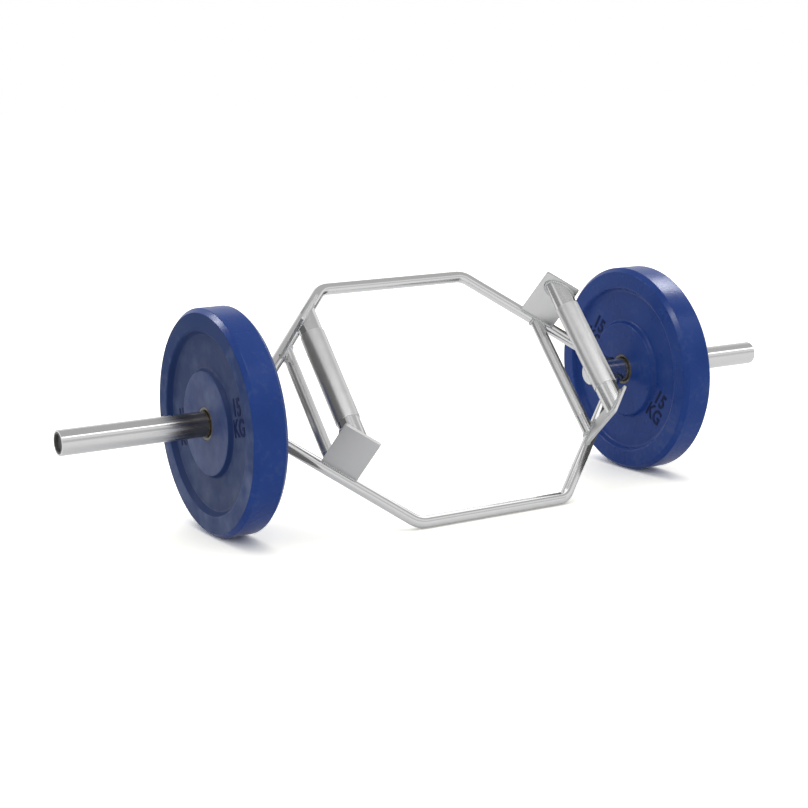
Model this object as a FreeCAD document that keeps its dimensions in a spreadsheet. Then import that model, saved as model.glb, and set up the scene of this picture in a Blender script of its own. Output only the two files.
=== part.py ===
import FreeCAD, Part
import Sketcher
import math
import os

# Hex trap bar with one bumper plate on each sleeve.
# X runs along the sleeves, Y points to the back and Z points up. The origin is on the floor,
# below the middle of the sleeve axis. The plates stand on the floor and carry the sleeves.
# The hexagon leans about the sleeve axis until its front bar lies on the floor.

doc = FreeCAD.newDocument("hex_trap_bar")
sheet = doc.addObject("Spreadsheet::Sheet", "dims")

# Driving dimensions in millimetres, angles in degrees
DIMENSIONS = {
    # hexagon of round bar
    "bar_diameter": 25.4,
    "half_depth": 286.0,
    "apex_reach": 463.0,
    "slant_angle": 45.0,
    "bend_radius": 38.0,
    # loading sleeves
    "sleeve_diameter": 50.0,
    "sleeve_wall": 4.0,
    "sleeve_reach": 377.0,
    "sleeve_stub": 78.0,
    "sleeve_end_chamfer": 1.5,
    "seat_relief": 0.3,
    "seat_run_out": 2.0,
    "cap_thickness": 4.0,
    "cap_chamfer": 1.5,
    "plug_length": 24.0,
    "plug_wall": 3.5,
    "plug_recess": 6.0,
    # low and raised handles
    "handle_setback": 153.0,
    "handle_height": 117.0,
    "core_diameter": 47.0,
    "core_wall": 3.0,
    "grip_wall": 1.45,
    "bare_core": 50.0,
    "grip_chamfer": 0.8,
    # gusset plates
    "gusset_side_margin": 1.1,
    "gusset_top_margin": 2.5,
    "gusset_thickness": 6.0,
    "gusset_corner": 5.0,
    # bumper plates
    "plate_diameter": 450.0,
    "plate_thickness": 72.0,
    "plate_standoff": 8.0,
    "tread_chamfer": 9.0,
    "rim_width": 34.0,
    "web_recess": 13.0,
    "web_slope": 8.0,
    "hub_diameter": 204.0,
    "hub_slope": 6.0,
    "hub_recess": 2.0,
    # steel hub inserts
    "bore_clearance": 0.5,
    "insert_wall": 7.5,
    "insert_mouth": 3.0,
    "flange_reach": 15.0,
    "flange_thickness": 10.0,
    "insert_clearance": 0.05,
    # fits and welds
    "fit_clearance": 0.05,
    "sleeve_weld": 5.0,
    "low_handle_weld": 4.0,
    "raised_handle_weld": 4.0,
    "gusset_weld": 4.0,
    "weld_margin": 3.0,
}

for row, (alias, value) in enumerate(DIMENSIONS.items(), start=1):
    sheet.set(f"A{row}", alias)
    sheet.set(f"B{row}", str(value))
    sheet.setAlias(f"B{row}", alias)
doc.recompute()

# Sizes worked out from the driving dimensions
BAR_RADIUS = "(dims.bar_diameter / 2)"
SLEEVE_RADIUS = "(dims.sleeve_diameter / 2)"
SEAT_RADIUS = f"({SLEEVE_RADIUS} - dims.seat_relief)"
SLEEVE_BORE = f"({SLEEVE_RADIUS} - dims.sleeve_wall)"
SLEEVE_LENGTH = "(dims.sleeve_stub + dims.sleeve_reach)"
SEAT_LENGTH = "(dims.sleeve_stub + dims.plate_standoff + dims.plate_thickness + dims.seat_run_out)"
PLUG_RADIUS = f"({SLEEVE_BORE} - dims.fit_clearance)"
CORE_RADIUS = "(dims.core_diameter / 2)"
GRIP_RADIUS = f"({CORE_RADIUS} + dims.fit_clearance + dims.grip_wall)"
HANDLE_WELD_RADIUS = f"({CORE_RADIUS} + dims.raised_handle_weld)"
GUSSET_WIDTH = f"(2 * {HANDLE_WELD_RADIUS} / cos(dims.slant_angle) + 2 * dims.gusset_side_margin)"
GUSSET_TOP = f"(dims.handle_height + {HANDLE_WELD_RADIUS} + dims.gusset_top_margin)"
HANDLE_REACH = "(dims.apex_reach - dims.handle_setback)"
HANDLE_END = "(dims.handle_setback * tan(dims.slant_angle))"
GRIP_LENGTH = f"(2 * {HANDLE_END} - 2 * dims.bare_core)"
PLATE_RADIUS = "(dims.plate_diameter / 2)"
RIM_OUTER = f"({PLATE_RADIUS} - dims.tread_chamfer)"
RIM_INNER = f"({RIM_OUTER} - dims.rim_width)"
HUB_RADIUS = "(dims.hub_diameter / 2)"
HUB_LENGTH = "(dims.plate_thickness - 2 * dims.hub_recess)"
INSERT_BORE = f"({SLEEVE_RADIUS} + dims.bore_clearance)"
INSERT_RADIUS = f"({INSERT_BORE} + dims.insert_wall)"
FLANGE_RADIUS = f"({INSERT_RADIUS} + dims.flange_reach)"
PLATE_INNER_FACE = "(dims.apex_reach + dims.plate_standoff)"


def value_of(expression):
    """Number that an expression of the sheet gives now."""
    return float(sheet.evalExpression(expression))


def place(x="0", y="0", z="0", axis="0; 0; 1", angle="0"):
    """Placement expression: a move, after a turn about an axis."""
    return f"placement(vector({x}; {y}; {z}); rotation(vector({axis}); {angle}))"


# The sleeve axis lies at the plate's radius above the floor. The frame leans about it.
LEAN = "asin((dims.plate_diameter - dims.bar_diameter) / (2 * dims.half_depth))"
AXLE = place(z=PLATE_RADIUS)
FRAME = f"{AXLE} * {place(axis='1; 0; 0', angle=LEAN)}"
X_TO_Y = place(angle="90")

pieces = []


def piece(label, shape_object):
    """Name an object as a finished piece of the bar."""
    shape_object.Label = label
    pieces.append(shape_object)
    return shape_object


def sketch_on(body, role, name):
    """Sketch on one of a body's own origin planes."""
    plane = next(item for item in body.Origin.OriginFeatures if item.Role == role)
    sketch = body.newObject("Sketcher::SketchObject", name)
    sketch.AttachmentSupport = [(plane, "")]
    sketch.MapMode = "FlatFace"
    return sketch


def bind(sketch, kind, where, expression):
    """Add a sized constraint and tie its size to the sheet."""
    index = sketch.addConstraint(Sketcher.Constraint(kind, *where, value_of(expression)))
    sketch.setExpression(f"Constraints[{index}]", expression)


def fix_point(sketch, geometry, end, x, y):
    """Hold a sketch point at x, y, given as expressions."""
    for kind, expression, axis in (("DistanceX", x, -2), ("DistanceY", y, -1)):
        if expression == "0":
            sketch.addConstraint(Sketcher.Constraint("PointOnObject", geometry, end, axis))
        else:
            bind(sketch, kind, (-1, 1, geometry, end), expression)


def closed_outline(sketch, points):
    """Closed outline of straight lines through points given as expressions."""
    corners = [FreeCAD.Vector(value_of(x), value_of(y), 0) for x, y in points]
    count = len(corners)
    for index in range(count):
        sketch.addGeometry(Part.LineSegment(corners[index], corners[(index + 1) % count]), False)
    for index in range(count):
        sketch.addConstraint(Sketcher.Constraint("Coincident", index, 2, (index + 1) % count, 1))
    for index, (x, y) in enumerate(points):
        fix_point(sketch, index, 1, x, y)


def turned(label, outline, where):
    """Piece turned about its own X axis from an outline of (along, radius) points."""
    body = doc.addObject("PartDesign::Body", label)
    sketch = sketch_on(body, "XY_Plane", f"{label}_outline")
    closed_outline(sketch, outline)
    turn = body.newObject("PartDesign::Revolution", f"{label}_turn")
    turn.Profile = sketch
    turn.ReferenceAxis = (sketch, ["H_Axis"])
    body.setExpression("Placement", where)
    return piece(label, body)


def rod(name, radius, length, where):
    """Round rod along the X axis of a place, with one end at its origin."""
    cylinder = doc.addObject("Part::Cylinder", name)
    cylinder.setExpression("Radius", radius)
    cylinder.setExpression("Height", length)
    cylinder.setExpression("Placement", f"{where} * {place(axis='0; 1; 0', angle='90')}")
    return cylinder


def block(name, length, width, height, where):
    """Box whose first corner is at the origin of a place."""
    box = doc.addObject("Part::Box", name)
    box.setExpression("Length", length)
    box.setExpression("Width", width)
    box.setExpression("Height", height)
    box.setExpression("Placement", where)
    return box


def cut(name, base, *tools):
    """Base with every tool taken away from it."""
    for index, tool in enumerate(tools):
        result = doc.addObject("Part::Cut", f"{name}_cut_{index}")
        result.Base = base
        result.Tool = tool
        base = result
    return base


def common(name, first, second):
    """What two solids share."""
    result = doc.addObject("Part::Common", name)
    result.Base = first
    result.Tool = second
    return result


def group(name, members):
    """Separate solids that make one piece list entry."""
    result = doc.addObject("Part::Compound", name)
    result.Links = members
    return result


def bent_bar(name, where):
    """Half of the hexagon: a straight middle, two bends and two slants that end on the sleeve axis."""
    body = doc.addObject("PartDesign::Body", name)
    bend_x = "(dims.apex_reach - dims.half_depth / tan(dims.slant_angle)"
    bend_x += " - dims.bend_radius * tan(dims.slant_angle / 2))"
    centre = FreeCAD.Vector(value_of(bend_x), value_of("dims.half_depth - dims.bend_radius"), 0)
    radius = value_of("dims.bend_radius")
    turn = math.radians(value_of("dims.slant_angle"))
    leaving = centre + FreeCAD.Vector(math.sin(turn), math.cos(turn), 0) * radius
    straight_end = FreeCAD.Vector(centre.x, value_of("dims.half_depth"), 0)
    apex = FreeCAD.Vector(value_of("dims.apex_reach"), 0, 0)

    path = sketch_on(body, "XY_Plane", f"{name}_path")
    path.addGeometry(Part.LineSegment(FreeCAD.Vector(0, straight_end.y, 0), straight_end), False)
    bend = Part.Circle(centre, FreeCAD.Vector(0, 0, 1), radius)
    path.addGeometry(Part.ArcOfCircle(bend, math.pi / 2 - turn, math.pi / 2), False)
    path.addGeometry(Part.LineSegment(leaving, apex), False)
    path.addConstraint(Sketcher.Constraint("Horizontal", 0))
    path.addConstraint(Sketcher.Constraint("Tangent", 0, 2, 1, 2))
    path.addConstraint(Sketcher.Constraint("Tangent", 1, 1, 2, 1))
    fix_point(path, 0, 1, "0", "dims.half_depth")
    fix_point(path, 2, 2, "dims.apex_reach", "0")
    bind(path, "DistanceX", (-1, 1, 1, 3), bend_x)
    bind(path, "Radius", (1,), "dims.bend_radius")

    section = sketch_on(body, "YZ_Plane", f"{name}_section")
    middle = FreeCAD.Vector(straight_end.y, 0, 0)
    section.addGeometry(Part.Circle(middle, FreeCAD.Vector(0, 0, 1), value_of(BAR_RADIUS)), False)
    fix_point(section, 0, 3, "dims.half_depth", "0")
    bind(section, "Radius", (0,), BAR_RADIUS)
    doc.recompute()

    half = body.newObject("PartDesign::AdditivePipe", f"{name}_half")
    half.Profile = section
    half.Spine = (path, ["Edge1", "Edge2", "Edge3"])
    doc.recompute()
    whole = body.newObject("PartDesign::Mirrored", f"{name}_whole")
    whole.Originals = [half]
    mirror = next(item for item in body.Origin.OriginFeatures if item.Role == "YZ_Plane")
    whole.MirrorPlane = (mirror, [""])
    body.Tip = whole
    body.setExpression("Placement", where)
    return body


def gusset_plate(name, where):
    """Upright plate with two round top corners. Its first corner is at the origin of a place."""
    body = doc.addObject("PartDesign::Body", name)
    sketch = sketch_on(body, "XZ_Plane", f"{name}_outline")
    width = value_of(GUSSET_WIDTH)
    top = value_of(GUSSET_TOP)
    corner = value_of("dims.gusset_corner")
    up = FreeCAD.Vector(0, 0, 1)
    sides = (
        (FreeCAD.Vector(0, 0, 0), FreeCAD.Vector(width, 0, 0)),
        (FreeCAD.Vector(width, 0, 0), FreeCAD.Vector(width, top - corner, 0)),
        (FreeCAD.Vector(width - corner, top, 0), FreeCAD.Vector(corner, top, 0)),
        (FreeCAD.Vector(0, top - corner, 0), FreeCAD.Vector(0, 0, 0)),
    )
    for start, end in sides:
        sketch.addGeometry(Part.LineSegment(start, end), False)
    right = Part.Circle(FreeCAD.Vector(width - corner, top - corner, 0), up, corner)
    left = Part.Circle(FreeCAD.Vector(corner, top - corner, 0), up, corner)
    sketch.addGeometry(Part.ArcOfCircle(right, 0, math.pi / 2), False)
    sketch.addGeometry(Part.ArcOfCircle(left, math.pi / 2, math.pi), False)
    sketch.addConstraint(Sketcher.Constraint("Coincident", 0, 2, 1, 1))
    sketch.addConstraint(Sketcher.Constraint("Coincident", 3, 2, 0, 1))
    sketch.addConstraint(Sketcher.Constraint("Tangent", 1, 2, 4, 1))
    sketch.addConstraint(Sketcher.Constraint("Tangent", 4, 2, 2, 1))
    sketch.addConstraint(Sketcher.Constraint("Tangent", 2, 2, 5, 1))
    sketch.addConstraint(Sketcher.Constraint("Tangent", 5, 2, 3, 1))
    sketch.addConstraint(Sketcher.Constraint("Horizontal", 2))
    fix_point(sketch, 0, 1, "0", "0")
    fix_point(sketch, 1, 1, GUSSET_WIDTH, "0")
    fix_point(sketch, 4, 3, f"{GUSSET_WIDTH} - dims.gusset_corner", f"{GUSSET_TOP} - dims.gusset_corner")
    bind(sketch, "Radius", (4,), "dims.gusset_corner")
    bind(sketch, "Radius", (5,), "dims.gusset_corner")
    sketch.addConstraint(Sketcher.Constraint("Vertical", 3))
    pad = body.newObject("PartDesign::Pad", f"{name}_pad")
    pad.Profile = sketch
    pad.setExpression("Length", "dims.gusset_thickness")
    pad.Reversed = True
    body.setExpression("Placement", where)
    return body


# Bent bars of the hexagon, coped to the sleeves
back_stock = bent_bar("back_bar_stock", FRAME)
front_stock = bent_bar("front_bar_stock", f"{FRAME} * {place(angle='180')}")
both_sleeves = rod(
    "both_sleeves",
    SEAT_RADIUS,
    "2 * (dims.apex_reach + dims.sleeve_reach)",
    f"{FRAME} * {place(x='-(dims.apex_reach + dims.sleeve_reach)')}",
)
piece("front_frame_bar", cut("front_frame_bar", front_stock, both_sleeves))
piece("back_frame_bar", cut("back_frame_bar", back_stock, both_sleeves))


def sleeve(side, where):
    """Loading sleeve with its inner cap and its outer plug, built from the sleeve's inner end outwards."""
    inner_end = f"{where} * {place(x='dims.apex_reach - dims.sleeve_stub')}"
    tube = [
        ("0", SLEEVE_BORE),
        (SLEEVE_LENGTH, SLEEVE_BORE),
        (SLEEVE_LENGTH, f"{SLEEVE_RADIUS} - dims.sleeve_end_chamfer"),
        (f"{SLEEVE_LENGTH} - dims.sleeve_end_chamfer", SLEEVE_RADIUS),
        (SEAT_LENGTH, SLEEVE_RADIUS),
        (SEAT_LENGTH, SEAT_RADIUS),
        ("0", SEAT_RADIUS),
    ]
    turned(f"{side}_sleeve_tube", tube, inner_end)
    cap = [
        ("0", "0"),
        ("dims.cap_thickness", "0"),
        ("dims.cap_thickness", SEAT_RADIUS),
        ("dims.cap_chamfer", SEAT_RADIUS),
        ("0", f"{SEAT_RADIUS} - dims.cap_chamfer"),
    ]
    turned(f"{side}_sleeve_inner_cap", cap, f"{inner_end} * {place(x='-dims.cap_thickness')}")
    plug = [
        ("0", "0"),
        ("dims.plug_length - dims.plug_recess", "0"),
        ("dims.plug_length - dims.plug_recess", f"{PLUG_RADIUS} - dims.plug_wall"),
        ("dims.plug_length", f"{PLUG_RADIUS} - dims.plug_wall"),
        ("dims.plug_length", PLUG_RADIUS),
        ("0", PLUG_RADIUS),
    ]
    outer_end = place(x=f"{SLEEVE_LENGTH} - dims.plug_length")
    turned(f"{side}_sleeve_end_plug", plug, f"{inner_end} * {outer_end}")


def sleeve_welds(side, where):
    """Collar of weld round each bar where it meets the sleeve."""
    collars = []
    reach = "(2 * dims.sleeve_diameter)"
    ring = rod(
        f"{side}_sleeve_weld_ring",
        f"{SEAT_RADIUS} + dims.sleeve_weld",
        f"2 * {reach}",
        f"{where} * {place(x=f'dims.apex_reach - {reach}')}",
    )
    for end, angle in (("back", "180 - dims.slant_angle"), ("front", "180 + dims.slant_angle")):
        name = f"{side}_{end}_sleeve_weld"
        along_slant = f"{where} * {place(x='dims.apex_reach', angle=angle)}"
        coat = rod(f"{name}_coat", f"{BAR_RADIUS} + dims.sleeve_weld", reach, along_slant)
        collar = common(f"{name}_band", coat, ring)
        collars.append(cut(name, collar, both_sleeves, front_stock, back_stock))
    piece(f"{side}_sleeve_welds", group(f"{side}_sleeve_welds", collars))


def handles(side, where, ends):
    """Low handle, raised handle and the two gussets of one side, with their welds."""
    handle_axis = f"{where} * {place(x=HANDLE_REACH, y=f'-{HANDLE_END}')} * {X_TO_Y}"
    low_stock = rod(f"{side}_low_stock", BAR_RADIUS, f"2 * {HANDLE_END}", handle_axis)
    low = cut(f"{side}_low_handle", low_stock, front_stock, back_stock)
    piece(f"{side}_low_handle", low)

    raised_axis = f"{where} * {place(x=HANDLE_REACH, y=f'-{HANDLE_END}', z='dims.handle_height')}"
    raised_axis = f"{raised_axis} * {X_TO_Y}"
    core_stock = rod(f"{side}_core_stock", CORE_RADIUS, f"2 * {HANDLE_END}", raised_axis)
    core_bore = rod(f"{side}_core_bore", f"{CORE_RADIUS} - dims.core_wall", f"2 * {HANDLE_END}", raised_axis)
    core_coat = rod(
        f"{side}_core_coat", HANDLE_WELD_RADIUS, f"2 * {HANDLE_END}", raised_axis
    )
    low_coat = rod(f"{side}_low_coat", f"{BAR_RADIUS} + dims.low_handle_weld", f"2 * {HANDLE_END}", handle_axis)

    mitres = []
    raised_welds = []
    low_welds = []
    for end, half_turn, sign in ends:
        corner = f"{end}_{side}"
        foot = f"{where} * {place(x=HANDLE_REACH, y=f'{sign} * {HANDLE_END}')}"
        foot = f"{foot} * {place(angle=f'{half_turn} - {sign} * dims.slant_angle')}"
        stock = gusset_plate(f"{corner}_gusset_stock", f"{foot} * {place(x=f'-{GUSSET_WIDTH} / 2')}")
        gusset = cut(f"{corner}_gusset", stock, front_stock, back_stock, low)
        piece(f"{corner}_gusset", gusset)

        bead_length = f"({GUSSET_WIDTH} - 2 * dims.weld_margin)"
        beads = []
        for face, depth in (("outer", "0"), ("inner", "dims.gusset_thickness")):
            height = f"sqrt({BAR_RADIUS} * {BAR_RADIUS} - {depth} * {depth})"
            line = f"{foot} * {place(x=f'-{bead_length} / 2', y=depth, z=height)}"
            bead = rod(f"{corner}_{face}_bead_stock", "dims.gusset_weld", bead_length, line)
            beads.append(cut(f"{corner}_{face}_bead", bead, gusset, front_stock, back_stock, low))
        piece(f"{corner}_gusset_welds", group(f"{corner}_gusset_welds", beads))

        span = "(3 * dims.core_diameter)"
        mitre_corner = place(
            x=f"-{span} / 2", y=f"dims.gusset_thickness - {span}", z="dims.handle_height - dims.core_diameter"
        )
        mitres.append(block(f"{corner}_mitre", span, span, "2 * dims.core_diameter", f"{foot} * {mitre_corner}"))
        slab_corner = place(
            x=f"-{span} / 2", y="dims.gusset_thickness", z="dims.handle_height - dims.core_diameter"
        )
        slab = block(
            f"{corner}_weld_slab",
            span,
            "dims.raised_handle_weld",
            "2 * dims.core_diameter",
            f"{foot} * {slab_corner}",
        )
        ring = common(f"{corner}_raised_ring", core_coat, slab)
        raised_welds.append(cut(f"{corner}_raised_weld", ring, core_stock))

        shifted = rod(
            f"{corner}_slant_coat",
            BAR_RADIUS,
            span,
            f"{foot} * {place(x=f'-{span} / 2', y='dims.low_handle_weld')}",
        )
        saddle = common(f"{corner}_low_saddle", low_coat, shifted)
        tools = [low_stock, front_stock, back_stock, gusset] + beads
        low_welds.append(cut(f"{corner}_low_weld", saddle, *tools))

    piece(f"{side}_raised_handle_tube", cut(f"{side}_raised_handle_tube", core_stock, core_bore, *mitres))
    piece(f"{side}_raised_handle_welds", group(f"{side}_raised_handle_welds", raised_welds))
    piece(f"{side}_low_handle_welds", group(f"{side}_low_handle_welds", low_welds))

    grip = [
        ("0", f"{CORE_RADIUS} + dims.fit_clearance"),
        (GRIP_LENGTH, f"{CORE_RADIUS} + dims.fit_clearance"),
        (GRIP_LENGTH, f"{GRIP_RADIUS} - dims.grip_chamfer"),
        (f"{GRIP_LENGTH} - dims.grip_chamfer", GRIP_RADIUS),
        ("dims.grip_chamfer", GRIP_RADIUS),
        ("0", f"{GRIP_RADIUS} - dims.grip_chamfer"),
    ]
    grip_start = place(x=HANDLE_REACH, y=f"-{GRIP_LENGTH} / 2", z="dims.handle_height")
    turned(f"{side}_knurled_grip", grip, f"{where} * {grip_start} * {X_TO_Y}")


def bumper_plate(side, where):
    """Rubber disc with a raised rim and hub, and the steel ring with its anchor flange moulded into it."""
    face = f"{where} * {place(x=PLATE_INNER_FACE)}"
    far = "dims.plate_thickness"
    seat_radius = f"{INSERT_RADIUS} + dims.insert_clearance"
    groove_radius = f"{FLANGE_RADIUS} + dims.insert_clearance"
    groove_near = f"({far} / 2 - dims.flange_thickness / 2 - dims.insert_clearance)"
    groove_far = f"({far} / 2 + dims.flange_thickness / 2 + dims.insert_clearance)"
    disc = [
        ("dims.hub_recess", seat_radius),
        (groove_near, seat_radius),
        (groove_near, groove_radius),
        (groove_far, groove_radius),
        (groove_far, seat_radius),
        (f"{far} - dims.hub_recess", seat_radius),
        (f"{far} - dims.hub_recess", HUB_RADIUS),
        (f"{far} - dims.web_recess", f"{HUB_RADIUS} + dims.hub_slope"),
        (f"{far} - dims.web_recess", f"{RIM_INNER} - dims.web_slope"),
        (far, RIM_INNER),
        (far, RIM_OUTER),
        (f"{far} - dims.tread_chamfer", PLATE_RADIUS),
        ("dims.tread_chamfer", PLATE_RADIUS),
        ("0", RIM_OUTER),
        ("0", RIM_INNER),
        ("dims.web_recess", f"{RIM_INNER} - dims.web_slope"),
        ("dims.web_recess", f"{HUB_RADIUS} + dims.hub_slope"),
        ("dims.hub_recess", HUB_RADIUS),
    ]
    turned(f"{side}_bumper_disc", disc, face)
    flange_near = f"({HUB_LENGTH} / 2 - dims.flange_thickness / 2)"
    flange_far = f"({HUB_LENGTH} / 2 + dims.flange_thickness / 2)"
    insert = [
        ("dims.insert_mouth", INSERT_BORE),
        (f"{HUB_LENGTH} - dims.insert_mouth", INSERT_BORE),
        (HUB_LENGTH, f"{INSERT_BORE} + dims.insert_mouth"),
        (HUB_LENGTH, INSERT_RADIUS),
        (flange_far, INSERT_RADIUS),
        (flange_far, FLANGE_RADIUS),
        (flange_near, FLANGE_RADIUS),
        (flange_near, INSERT_RADIUS),
        ("0", INSERT_RADIUS),
        ("0", f"{INSERT_BORE} + dims.insert_mouth"),
    ]
    turned(f"{side}_hub_insert", insert, f"{face} * {place(x='dims.hub_recess')}")


# The left side is the right side turned half round, so its front and back change places
SIDES = (
    ("right", "0", (("back", "180", "1"), ("front", "0", "-1"))),
    ("left", "180", (("front", "180", "1"), ("back", "0", "-1"))),
)
for side, turn, ends in SIDES:
    in_frame = f"{FRAME} * {place(angle=turn)}"
    sleeve(side, in_frame)
    sleeve_welds(side, in_frame)
    handles(side, in_frame, ends)
    bumper_plate(side, f"{AXLE} * {place(angle=turn)}")

doc.recompute()

# Every object has to be sound before anything is written
for item in doc.Objects:
    if "Invalid" in item.State or "Error" in item.State:
        raise RuntimeError(f"{item.Label} did not build: {item.State}")
for item in pieces:
    if item.Shape.isNull() or not item.Shape.isValid() or not item.Shape.Solids:
        raise RuntimeError(f"{item.Label} has no sound solid")

os.makedirs("parts", exist_ok=True)
for item in pieces:
    item.Shape.exportStep(f"parts/{item.Label}.step")
    box = item.Shape.BoundBox
    volumes = ", ".join(f"{solid.Volume / 1000:.2f}" for solid in item.Shape.Solids)
    print(f"{item.Label}: {len(item.Shape.Solids)} solids, {volumes} cm3, "
          f"x {box.XMin:.1f}..{box.XMax:.1f} y {box.YMin:.1f}..{box.YMax:.1f} z {box.ZMin:.1f}..{box.ZMax:.1f}")
print(f"{len(pieces)} pieces")
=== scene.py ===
# %% [markdown]
# # A hex trap bar with bumper plates
# The real object is a hexagon of chromed round bar with a loading sleeve at each side,
# low and raised handles to lift by, and a blue rubber plate on each sleeve.
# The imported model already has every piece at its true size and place, so this lesson
# only dresses it: smoother bars, cut knurl, weld beads, moulded rubber and real finishes.

# %% Load the frame
import math

import bmesh
import bpy
from mathutils import Matrix, Vector


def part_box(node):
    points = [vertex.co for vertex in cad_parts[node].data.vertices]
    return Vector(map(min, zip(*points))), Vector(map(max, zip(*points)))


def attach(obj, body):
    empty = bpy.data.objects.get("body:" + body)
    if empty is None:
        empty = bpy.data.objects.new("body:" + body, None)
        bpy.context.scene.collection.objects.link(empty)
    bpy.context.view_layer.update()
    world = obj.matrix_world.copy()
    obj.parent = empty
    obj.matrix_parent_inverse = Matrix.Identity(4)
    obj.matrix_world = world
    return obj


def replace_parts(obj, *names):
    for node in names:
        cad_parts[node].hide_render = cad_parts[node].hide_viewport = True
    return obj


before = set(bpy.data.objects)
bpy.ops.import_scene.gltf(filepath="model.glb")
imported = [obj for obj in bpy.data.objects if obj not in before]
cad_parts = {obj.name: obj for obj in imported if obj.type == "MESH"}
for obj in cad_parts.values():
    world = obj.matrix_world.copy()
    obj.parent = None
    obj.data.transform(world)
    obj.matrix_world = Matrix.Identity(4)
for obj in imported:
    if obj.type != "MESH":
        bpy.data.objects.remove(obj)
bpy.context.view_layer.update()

# %% [markdown]
# ## Where the hexagon lies
# The plates stand on the floor and carry the sleeves, and the hexagon leans about the sleeves
# until its front bar touches the floor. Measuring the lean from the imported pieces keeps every
# new piece on the model, so one matrix takes flat hexagon sizes to their place in the scene.

# %% Measure the frame
MM = 0.001  # one millimetre in Blender's metres
BAR_RADIUS = 12.7 * MM
APEX_REACH = 463 * MM  # from the middle of the hexagon to its side corner
SLANT = math.radians(45)
SIDES = {"right": 1, "left": -1}
ENDS = {"back": 1, "front": -1}

disc_low, disc_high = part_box("right_bumper_disc")
front_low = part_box("front_frame_bar")[0]
grip_low, grip_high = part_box("right_knurled_grip")
core_low, core_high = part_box("right_raised_handle_tube")
AXIS_HEIGHT = (disc_low.z + disc_high.z) / 2
RISE = AXIS_HEIGHT - BAR_RADIUS
RUN = -front_low.y - BAR_RADIUS
LEAN = math.atan2(RISE, RUN)
HALF_DEPTH = math.hypot(RISE, RUN)
HANDLE_REACH = (grip_low.x + grip_high.x) / 2
HANDLE_END = (APEX_REACH - HANDLE_REACH) * math.tan(SLANT)
LEANING = Matrix.Translation((0, 0, AXIS_HEIGHT)) @ Matrix.Rotation(LEAN, 4, "X")
grip_middle = LEANING.inverted() @ ((grip_low + grip_high) / 2)
HANDLE_HEIGHT = grip_middle.z
CORE_RADIUS = (core_high.x - core_low.x) / 2
print(f"lean {math.degrees(LEAN):.2f} degrees, half depth {HALF_DEPTH / MM:.1f} mm, "
      f"handles at {HANDLE_REACH / MM:.1f} mm, {HANDLE_HEIGHT / MM:.1f} mm up")

# %% [markdown]
# ## Small tools
# Colours are easier to read as the hex values a painter uses, but shaders work in linear light,
# so one function turns them. Node trees get long, so one function adds a node, sets it and links it. A node
# that is given in place of a value stands for its first output. The others start a material with the numbers
# that are the same all over its surface, and show a mesh, curve, lamp or camera in the scene.

# %% Colour, node, material and scene tools
def to_linear(hex_colour):
    """Linear colour of an sRGB hex value."""
    channels = [int(hex_colour[start:start + 2], 16) / 255 for start in (1, 3, 5)]
    return [c / 12.92 if c <= 0.04045 else ((c + 0.055) / 1.055) ** 2.4 for c in channels] + [1.0]


def feed(tree, node, inputs):
    """Link each input of a node to a socket or to a node's first output, or set it."""
    for key, value in inputs.items():
        source = value.outputs[0] if isinstance(value, bpy.types.Node) else value
        if isinstance(source, bpy.types.NodeSocket):
            tree.links.new(source, node.inputs[key])
        else:
            node.inputs[key].default_value = source


def add(tree, kind, inputs=None, **settings):
    """Node of a kind, with its settings, and with each input linked or set."""
    node = tree.nodes.new(kind)
    for name, value in settings.items():
        setattr(node, name, value)
    feed(tree, node, inputs or {})
    return node


def start_material(name, **values):
    """Material with a Principled shader, whose sockets are named with underscores here."""
    material = bpy.data.materials.new(name)
    material.use_nodes = True
    shader = material.node_tree.nodes["Principled BSDF"]
    for socket, value in values.items():
        shader.inputs[socket.replace("_", " ")].default_value = value
    return material, material.node_tree, shader


def show(name, data):
    """Object that shows a mesh, curve, lamp or camera."""
    item = bpy.data.objects.new(name, data)
    bpy.context.scene.collection.objects.link(item)
    return item


print("mid grey #808080 is", round(to_linear("#808080")[0], 3), "in linear light")

# %% [markdown]
# ## Bright chrome on ground bar
# Chrome plate takes the shine of the steel below it. Bar is ground and polished while it spins, which
# leaves fine lines round it, so a reflection is drawn out along the bar in long light and dark stripes.
# An anisotropic shader does that when it knows which way the bar runs, so each bar carries its direction on
# its points. Handling adds faint rubs along the bar, 2 mm wide here, coarser than real ones so that they
# show.

# %% Ground chrome material
RUB_SIZE = (130 * MM, 2 * MM, 2 * MM)
STRIPES = 0.9  # how far the ground lines draw a reflection out
NOISE_LOW, NOISE_HIGH = 0.3, 0.7  # most of a noise lies between these
LINE_BUMP = 0.35


def finish_lines(tree, shader, size, smooth, rough, depth, vector=None, **place):
    """Roughness and a little bump from lines of a size, and the vector that counts in that size."""
    if vector is None:
        vector = add(tree, "ShaderNodeTexCoord").outputs["Object"]
    counted = add(tree, "ShaderNodeMapping", {"Vector": vector, "Scale": size, **place},
                  vector_type="TEXTURE")
    lines = add(tree, "ShaderNodeTexNoise",
                {"Vector": counted, "Scale": 1.0, "Detail": 4.0, "Roughness": 0.6})
    spread = add(tree, "ShaderNodeMapRange", {"Value": lines, "From Min": NOISE_LOW, "From Max": NOISE_HIGH,
                                              "To Min": smooth, "To Max": rough})
    bump = add(tree, "ShaderNodeBump", {"Height": lines, "Strength": LINE_BUMP, "Distance": depth})
    feed(tree, shader, {"Roughness": spread, "Normal": bump})
    return counted


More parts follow.
